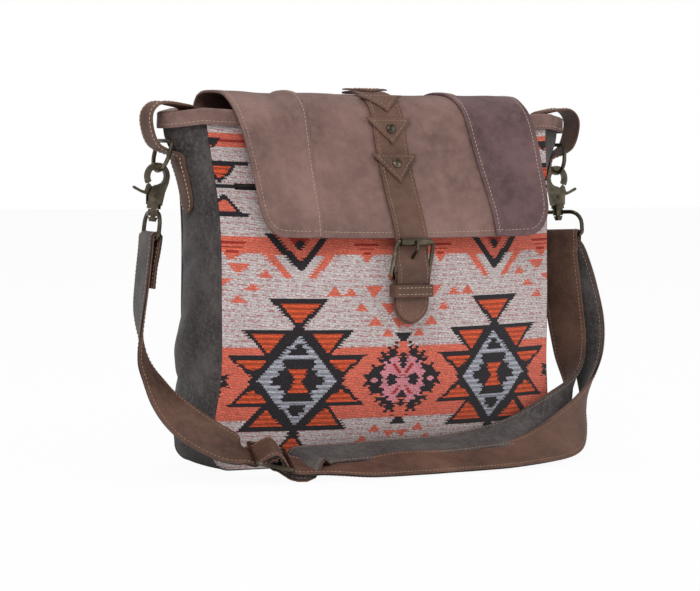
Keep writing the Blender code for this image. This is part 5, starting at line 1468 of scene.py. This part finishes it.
def build_flap_sheet(name, places, faces, look, node):
    """A leather sheet over the flap's form: places(travel) are its columns, faces(k, last) its heights."""
    travels = [FLAP_LENGTH * k / FLAP_STEPS_DOWN for k in range(FLAP_STEPS_DOWN)]
    outside, within = [], []
    for travel in travels + [FLAP_LENGTH - EDGE_WIDTH, FLAP_LENGTH]:
        columns = places(travel)
        top_line, low_line = [], []
        for k, x in enumerate(columns):
            fold = flap_fold(x, travel)
            low, high = faces(k, len(columns) - 1)
            top_line.append(flap_point(x, min(travel, FLAP_END), high + fold)[0])
            low_line.append(flap_point(x, min(travel, FLAP_END), low + fold)[0])
        outside.append(top_line)
        within.append(low_line)
    put(name, sheet(name, outside, within), look, "flap", (node,))


def middle_places(travel):
    """Columns of the middle panel, which runs under both side panels."""
    reach = seam_at(travel) + SEAM_OVERLAP
    return [reach * (2 * k / FLAP_COLUMNS - 1) for k in range(FLAP_COLUMNS + 1)]


def side_places(travel, side):
    """Columns of a side panel: its step over the middle panel first, then evenly to the outer edge."""
    inner = seam_at(travel)
    flat = inner + SEAM_OVERLAP + LAP_SLOPE
    outer = max(half_width_at(travel), flat + LEAST_BEYOND_LAP)
    found = [inner, inner + EDGE_WIDTH, inner + SEAM_OVERLAP * 0.5, inner + SEAM_OVERLAP * 0.9, flat]
    found += [flat + (outer - flat) * k / 16 for k in range(1, 16)] + [outer - EDGE_WIDTH, outer]
    return [side * x for x in found]


def side_faces(k, last):
    """The heights of a side panel's faces: its first columns lie on the middle panel."""
    low = RAISED if k < 4 else 0.0
    return low, low + FLAP_THICKNESS - (EDGE_DROP if k in (0, last) else 0.0)


def build_flap():
    """Three leather panels sewn with laps, the right one in a darker copy of the leather as painted shade."""
    build_flap_sheet("flap_leather_centre", middle_places, lambda k, last: (0.0, FLAP_THICKNESS),
                     "flap_leather", "flap_centre")
    for side, name, look in ((-1, "left", "flap_leather"), (1, "right", "flap_leather_painted_shade")):
        build_flap_sheet(f"flap_leather_{name}", functools.partial(side_places, side=side), side_faces, look,
                         f"flap_{name}")
    flap_stitches()


def over_flap(places, height):
    """A line over the flap's soft face through (x, travel) places, with its normals."""
    found = [flap_point(x, min(travel, FLAP_END), height + flap_fold(x, travel)) for x, travel in places]
    return [at for at, _ in found], [normal for _, normal in found]


FLAP_STITCH_INSET = 0.0042
FLAP_STITCH_START = 0.012
SEAM_STITCH_INSET = 0.0034


# Stitches along the flap's lower edge, as (from, to, step up over the side panels' laps).
LOWER_STITCHES = ((-0.114, -0.0885, 0.0), (-0.0885, -0.080, 0.0023), (-0.079, -0.017, 0.0),
                  (0.017, 0.079, 0.0), (0.080, 0.0885, 0.0023), (0.0885, 0.114, 0.0))


def flap_stitches():
    """Stitches round the flap's edge and down its two seams."""
    face = FLAP_THICKNESS + THREAD_LIFT
    radius = FLAP_CORNER_RADIUS - FLAP_STITCH_INSET
    corner_x = FLAP_BOTTOM_HALF_WIDTH + 0.0004 - FLAP_CORNER_RADIUS
    corner_travel = FLAP_LENGTH - FLAP_CORNER_RADIUS
    lines, seams = [], []
    for side in (-1, 1):
        travels = spread(FLAP_STITCH_START, FLAP_LENGTH - FLAP_CORNER_RADIUS * 0.9, 90)
        lines.append(over_flap([(side * (half_width_at(t) - FLAP_STITCH_INSET), t) for t in travels], face))
        corner = [(side * (corner_x + radius * math.cos(a)), corner_travel + radius * math.sin(a))
                  for a in [math.pi / 2 * k / 14 for k in range(15)]]
        lines.append(over_flap(corner, face))
        travels = spread(FLAP_STITCH_START, FLAP_LENGTH - 0.001, 90)
        seam = [(side * (seam_at(t) + SEAM_STITCH_INSET), t) for t in travels]
        seams.append(over_flap(seam, face + RAISED))
    for start, end, lift in LOWER_STITCHES:
        places = [(x, FLAP_LENGTH - FLAP_STITCH_INSET) for x in spread(start, end, 40)]
        lines.append(over_flap(places, face + lift))
    stitches("flap_edge_stitches", lines, "flap")
    stitches("flap_seam_stitches", seams, "flap", width=THICK_THREAD)


STRIP_HEIGHT = 0.026
STRIP_DROP = 0.0016
STRIP_STITCHES = (0.0046, 0.0236)


def strip_y(x, z):
    """The outer face of the strip that sews the flap to the back."""
    return back_y(x, z) + GAP + FLAP_THICKNESS + 0.0005 * ripple(Vector((x, 0.5, z)), 30)


def build_seam_strip():
    """The leather band that sews the flap to the back."""
    outside, within = [], []
    xs = [FLAP_TOP_HALF_WIDTH * i / 40 for i in range(-40, 41)]
    for k in range(13):
        z = HINGE_Z - STRIP_DROP - STRIP_HEIGHT * (1 - k / 12)
        edge = EDGE_DROP if k in (0, 12) else 0.0
        within.append([Vector((x, back_y(x, z) + GAP, z)) for x in xs])
        outside.append([Vector((x, strip_y(x, z) - edge, z)) for x in xs])
    put("leather_seam_strip", sheet("leather_seam_strip", outside, within), "flap_leather", "bag",
        ("flap_seam_strip",))
    lines = []
    for z in (HINGE_Z - drop for drop in STRIP_STITCHES):
        xs = [0.138 * i / 40 for i in range(-40, 41)]
        path = [Vector((x, strip_y(x, z) + THREAD_LIFT, z)) for x in xs]
        lines.append((path, [Vector((0, 1, 0))] * len(path)))
    stitches("seam_strip_stitches", lines, "bag")


# The centre strap, its patches and the buckle's leather
SECTION_POINTS = 24


def soft_section(at, across, out, width, thickness):
    """A strap's cross-section with softly rounded edges."""
    ring = []
    for turn in turns(SECTION_POINTS):
        c, s = math.cos(turn), math.sin(turn)
        wide = width / 2 * math.copysign(abs(c) ** 0.30, c)
        deep = thickness / 2 * math.copysign(abs(s) ** 0.53, s)
        ring.append(at + across * wide + out * deep)
    return ring


def strap_body(name, path, widths, thickness, node):
    """A strap of the flap along a path in the plane X = 0. Returns its faces' normals."""
    sections, facing = [], []
    for i, at in enumerate(path):
        along = heading(path, i)
        out = Vector((0, along.z, -along.y))
        facing.append(out)
        uneven = 0.0002 * ripple(at, 60, 3.3)
        sections.append(soft_section(at + out * uneven, Vector((1, 0, 0)), out, widths(i), thickness))
    put(name, tube_of(name, sections), "strap_leather", "flap", (node,))
    return facing


STRAP_STITCH_INSET = 0.0030
STRAP_STITCH_START, STRAP_STITCH_END = 0.006, 0.014


def centre_strap_rails(path, facing):
    """Stitch lines along both edges of the centre strap, on its outer face."""
    total = sum((b - a).length for a, b in zip(path, path[1:]))
    lines = []
    for way in (-1, 1):
        points, normals, gone = [], [], 0.0
        aside = Vector((way * (CENTRE_STRAP_WIDTH / 2 - STRAP_STITCH_INSET), 0, 0))
        for i, at in enumerate(path):
            gone += (at - path[i - 1]).length if i else 0.0
            if STRAP_STITCH_START <= gone <= total - STRAP_STITCH_END:
                points.append(at + aside + facing[i] * (STRAP_THICKNESS / 2 + THREAD_LIFT))
                normals.append(facing[i])
        lines.append((points, normals))
    return lines


def build_centre_strap():
    """The strap down the flap's middle that ends as the buckle's tongue."""
    path = smooth(tongue_path(), 2)
    widths = rounded_tip(path, CENTRE_STRAP_WIDTH)
    facing = strap_body("centre_strap_leather", path, widths, STRAP_THICKNESS, "centre_strap")
    if facing[len(path) // 2].y > 0:
        facing = [-n for n in facing]
    lines = centre_strap_rails(path, facing)
    radius = CENTRE_STRAP_WIDTH / 2 - STRAP_STITCH_INSET
    face = path[-1].y - STRAP_THICKNESS / 2 - THREAD_LIFT
    middle = TONGUE_END_Z + CENTRE_STRAP_WIDTH / 2
    tip = [Vector((radius * math.cos(a), face, middle + radius * math.sin(a)))
           for a in [math.pi * (1 + k / 16) for k in range(17)]]
    lines.append((tip, [Vector((0, -1, 0))] * len(tip)))
    stitches("centre_strap_stitches", lines, "flap", "tan_thread")


def patch_edge(start, length, inset, height):
    """A closed line inside a patch's edge: its flat top and the two sides down to the point."""
    half, points, normals = PATCH_HALF_WIDTH, [], []
    slope = half / length
    pull = inset * math.sqrt(1 + slope ** 2)
    top = start + inset
    wide = half * (1 - inset / length) - pull
    tip = start + length * (1 - pull / half)
    for a, b in (((-wide, top), (wide, top)), ((wide, top), (0.0, tip)), ((0.0, tip), (-wide, top))):
        for k in range(12):
            share = k / 12
            x, travel = a[0] + (b[0] - a[0]) * share, a[1] + (b[1] - a[1]) * share
            at, normal = flap_point(x, travel, height)
            points.append(at)
            normals.append(normal)
    return points + points[:1], normals + normals[:1]


PATCH_STEPS = 16
PATCH_STITCH_INSET = 0.0024


def patch_mesh(name, start, length, index):
    """A triangle that narrows row by row, its edges set down a little."""
    outside, within = [], []
    ends = (0, PATCH_STEPS)
    for k in range(PATCH_STEPS + 1):
        travel = start + length * k / PATCH_STEPS
        half = max(0.0010, PATCH_HALF_WIDTH * (1 - k / PATCH_STEPS))
        xs = [half * (2 * i / PATCH_STEPS - 1) for i in range(PATCH_STEPS + 1)]
        raised = [PATCH_HIGH - (EDGE_DROP if k in ends or i in ends else 0.0)
                  + 0.0003 * ripple(Vector((x, travel, index)), 90) for i, x in enumerate(xs)]
        outside.append([flap_point(x, travel, high)[0] for x, high in zip(xs, raised)])
        within.append([flap_point(x, travel, PATCH_LOW)[0] for x in xs])
    return sheet(name, outside, within)


def build_patches():
    """Triangles with a flat edge up and a point down, one below the other on the strap."""
    lines = []
    for index, (start, length) in enumerate(zip(patch_travels(), PATCH_LENGTHS)):
        name = f"patch_leather_{index + 1}"
        mesh = patch_mesh(name, start, length, index)
        put(name, mesh, "strap_leather", "flap", (f"triangle_patch_{index + 1}",))
        lines.append(patch_edge(start, length, PATCH_STITCH_INSET, PATCH_HIGH + 2 * THREAD_LIFT))
    stitches("patch_stitches", lines, "flap", "tan_thread")


BASE_STRAP_SHIFT = 0.0012


def build_base_strap():
    """The strap folded round the buckle's pivot bar, seen as a rim behind the tongue."""
    back = PIVOT_BAR_Y + BASE_STRAP_SHIFT
    front = back - CHAPE_THICKNESS - GAP
    foot = Vector((0, PIVOT_BAR_Y, PIVOT_BAR_Z))
    below_bar = PIVOT_BAR_Z - 0.0065
    path = [Vector((0, back, 0.141)), Vector((0, back + 0.0002, below_bar))]
    path += [foot + CHAPE_MIDDLE * Vector((0, math.cos(a), math.sin(a)))
             for a in [math.radians(degrees) for degrees in range(-60, 241, 10)]]
    levels = (below_bar, 0.140, 0.130, *(TONGUE_END_Z + d for d in (0.010, 0.004, 0.001, -0.0010, -0.0022)))
    path += [Vector((0, front, z)) for z in levels]
    wide = 2 * (BUCKLE_WIDTH / 2 - BUCKLE_WIRE - GAP)
    strap_body("buckle_strap_leather", path, rounded_tip(path, wide), CHAPE_THICKNESS, "buckle_base_strap")


KEEPER_CORNER = 0.0014
KEEPER_STITCH_INSET = 0.0024


def build_keeper():
    """The leather loop that holds the tongue down below the buckle."""
    back = PIVOT_BAR_Y + BASE_STRAP_SHIFT + CHAPE_THICKNESS / 2 + GAP + 0.0003
    top = PIVOT_BAR_Z - CHAPE_MIDDLE - CHAPE_THICKNESS - 0.0006
    front = TONGUE_OVER_PIVOT - STRAP_THICKNESS / 2 - GAP - 0.0004
    inner_x = CENTRE_STRAP_WIDTH / 2 + 0.0009
    half_y, middle_y = (back - front) / 2, (back + front) / 2
    sections = []
    for sx, sy, start in ((1, 1, 0), (-1, 1, 90), (-1, -1, 180), (1, -1, 270)):
        for turn in (math.radians(start + 15 * k) for k in range(7)):
            out = Vector((math.cos(turn), math.sin(turn), 0))
            corner = Vector((sx * (inner_x - KEEPER_CORNER), middle_y + sy * (half_y - KEEPER_CORNER),
                             top - KEEPER_HEIGHT / 2))
            middle = corner + out * (KEEPER_CORNER + KEEPER_THICKNESS / 2)
            sections.append(soft_section(middle, Vector((0, 0, 1)), out, KEEPER_HEIGHT, KEEPER_THICKNESS))
    put("keeper_leather", tube_of("keeper_leather", sections, closed=True), "strap_leather", "flap",
        ("buckle_keeper",))
    face = middle_y - half_y - KEEPER_THICKNESS - THREAD_LIFT
    lines = []
    for z in (top - KEEPER_STITCH_INSET, top - KEEPER_HEIGHT + KEEPER_STITCH_INSET):
        points = [Vector((inner_x * (2 * k / 12 - 1), face, z)) for k in range(13)]
        lines.append((points, [Vector((0, -1, 0))] * len(points)))
    stitches("keeper_stitches", lines, "flap", width=THICK_THREAD)


TAB_ACROSS = 12
TAB_EDGE_DROP = 0.0004
TAB_STITCH_INSET = 0.0026
TAB_STITCH_START = 0.020


def tab_place(at, y):
    """The tab's middle at this y, following the gusset's form where it clings to it."""
    level = min(at.y, RIM_HEIGHT)
    cling = min(1.0, max(0.0, at.z))
    return Vector((at.x + cling * (gusset_x(y, level) - gusset_x(TAB_Y, level)), y, at.y))


def tab_ring(at, out, half):
    """One section: its outer face from side to side, and its inner face back."""
    ring = []
    for face in (1, -1):
        for k in spread(-face * TAB_ACROSS, face * TAB_ACROSS, 2 * TAB_ACROSS):
            thin = TAB_EDGE_DROP if abs(k) == TAB_ACROSS else 0.0
            raised = out * (face * (TAB_THICKNESS / 2 - thin))
            ring.append(tab_place(at, TAB_Y + half * k / TAB_ACROSS) + raised)
    return ring


def build_tab(side):
    """The leather tab that holds a side's ring: over the rim, through the ring and down the gusset."""
    name, sign = f"{side}_tab_leather", SIDES[side]["sign"]
    path = smooth([Vector(p) for p in tab_path()], 4)
    total = sum((b.xy - a.xy).length for a, b in zip(path, path[1:]))
    to_side = Matrix.Diagonal((sign, 1, 1))
    sections, rails = [], {-1: ([], []), 1: ([], [])}
    gone = 0.0
    for i, at in enumerate(path):
        run = path[min(i + 1, len(path) - 1)] - path[max(i - 1, 0)]
        out = Vector((-run.y, 0, run.x)).normalized()
        gone += (at.xy - path[i - 1].xy).length if i else 0.0
        left, half = total - gone, TAB_WIDTH / 2
        if left < half:
            half = max(0.003, math.sqrt(max(0.0, half ** 2 - (half - left) ** 2)))
        sections.append([to_side @ p for p in tab_ring(at, out, half)])
        if gone <= TAB_STITCH_START or half <= TAB_WIDTH / 4:
            continue
        for way, (points, normals) in rails.items():
            on_face = tab_place(at, TAB_Y + way * (half - TAB_STITCH_INSET))
            points.append(to_side @ (on_face + out * (TAB_THICKNESS / 2 + THREAD_LIFT)))
            normals.append(to_side @ out)
    put(name, tube_of(name, sections), "strap_leather", "bag", (f"tab_{side}",))
    lines = list(rails.values())
    if rails[1][1][len(rails[1][1]) // 2].x * sign < 0:
        deep = TAB_THICKNESS + 2 * THREAD_LIFT
        lines = [([p - n * deep for p, n in zip(*rail)], [-n for n in rail[1]]) for rail in lines]
    stitches(f"{name}_stitches", lines, "bag", width=THICK_THREAD)


# The shoulder strap
# The strap is cut at these heights. Above the first it rides the swivel's eye, and each piece below
# lies between two neighbours, on neither of them; the rest rides the bag.
STRAP_BREAKS = (0.150, 0.125, 0.100, 0.070)
BAG_LEVEL = len(STRAP_BREAKS)
STRAP_SIDE_X = 0.16
BLENDS = (("swivel_eye_{0}", None), ("swivel_eye_{0}", "hook_{0}"), ("hook_{0}", "d_ring_{0}"),
          ("d_ring_{0}", "bag"))


# Each layer: (name, offset across the strap, thickness, width, look).
STRAP_LAYERS = (("leather", -0.0007, 0.0016, SHOULDER_STRAP_WIDTH, "strap_leather"),
                ("canvas", 0.0008, 0.0013, SHOULDER_STRAP_WIDTH - 0.0016, "washed_canvas"))
STRAP_RAIL = 0.0158
STRAP_FACE = 0.0016


# Length, spacing and thread width of the shoulder strap's stitches.
STRAP_STITCH = (0.0024, 0.0034, 0.00045)


def strap_frames():
    """The strap's middle line as (point, across, out of its inner face)."""
    route = strap_stations()
    points = smooth([at for at, _ in route], 6)
    widths = smooth([across for _, across in route], 6)
    frames = []
    for i, (at, wide) in enumerate(zip(points, widths)):
        run = heading(points, i)
        across = (wide - run * wide.dot(run)).normalized()
        frames.append((at, across, across.cross(run)))
    return frames


def strap_bodies(frames):
    """Which side and level of body each frame belongs to. The short end before the left eye rides it."""
    left_top = max(range(len(frames) // 3), key=lambda i: frames[i][0].z)
    found = []
    for i, (at, *_) in enumerate(frames):
        level = sum(at.z < z for z in STRAP_BREAKS) if abs(at.x) > STRAP_SIDE_X else BAG_LEVEL
        if i < left_top:
            level = 0
        found.append(("left" if at.x < 0 else "right", level) if level < BAG_LEVEL else ("", BAG_LEVEL))
    return found


def build_shoulder_strap():
    """Leather outside and canvas inside, in one run, cut where it crosses the swivel, hook and ring."""
    frames = strap_frames()
    bodies = strap_bodies(frames)
    cuts = [0, *(i for i in range(1, len(bodies)) if bodies[i] != bodies[i - 1]), len(bodies) - 1]
    for number, (a, b) in enumerate(zip(cuts, cuts[1:])):
        part = frames[a:b + 1]
        for layer, offset, thickness, width, look in STRAP_LAYERS:
            sections = []
            for at, across, out in part:
                uneven = 0.00025 * ripple(at, 40, 8) * (1 if offset > 0 else -1)
                sections.append(soft_section(at + out * (offset + uneven), across, out, width, thickness))
            name = f"strap_{layer}_{number}"
            ride_strap(name, tube_of(name, sections), look, bodies[a])
        lines = []
        for way in (-1, 1):
            for face in (-1, 1):
                line = [at + across * (way * STRAP_RAIL) + out * (face * STRAP_FACE)
                        for at, across, out in part]
                lines.append((line, [out * face for _, _, out in part]))
        name = f"strap_stitches_{number}"
        ride_strap(name, stitch_mesh(name, lines, *STRAP_STITCH), "tan_thread", bodies[a])


def ride_strap(name, mesh, look, place):
    """A piece of the strap on its body, or, when it lies between two bodies, on none of them with its
    transform baked in.
    """
    side, level = place
    bodies = BLENDS[level] if level < BAG_LEVEL else ("bag", None)
    first, second = (body and body.format(side) for body in bodies)
    piece = put(name, mesh, look, None if second else first, ("shoulder_strap",))
    if second:
        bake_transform(piece)


METAL_NODES = ("patch_rivet_1", "patch_rivet_2", "buckle_frame", "buckle_roller", "buckle_prong", "snap_male",
               "snap_socket", "zip_slider", "zip_pull", "strap_slider")
SIDE_METAL = ("d_ring", "hook_body", "hook_trigger", "hook_pin", "swivel_eye")


def dress_hardware():
    """The metal pieces and the zip's tape keep their CAD shape and get their final look."""
    names = METAL_NODES + tuple(f"{name}_{side}" for name in SIDE_METAL for side in ("left", "right"))
    for name in names:
        give_look(name, "antique_brass")
    give_look("zip_tape", "zip_cloth")


def give_look(node, look):
    """Dresses a CAD node without changing it."""
    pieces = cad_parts[node]
    for piece in pieces if isinstance(pieces, (list, tuple)) else [pieces]:
        for slot in piece.material_slots:
            slot.material = LOOKS[look]


add_camera()
add_stage()
build_weave()
build_lining()
build_zip_edges()
build_gusset()
build_back()
build_piping()
build_binding()
build_flap()
build_seam_strip()
build_centre_strap()
build_patches()
build_base_strap()
build_keeper()
for side in SIDES:
    build_tab(side)
build_shoulder_strap()
dress_hardware()
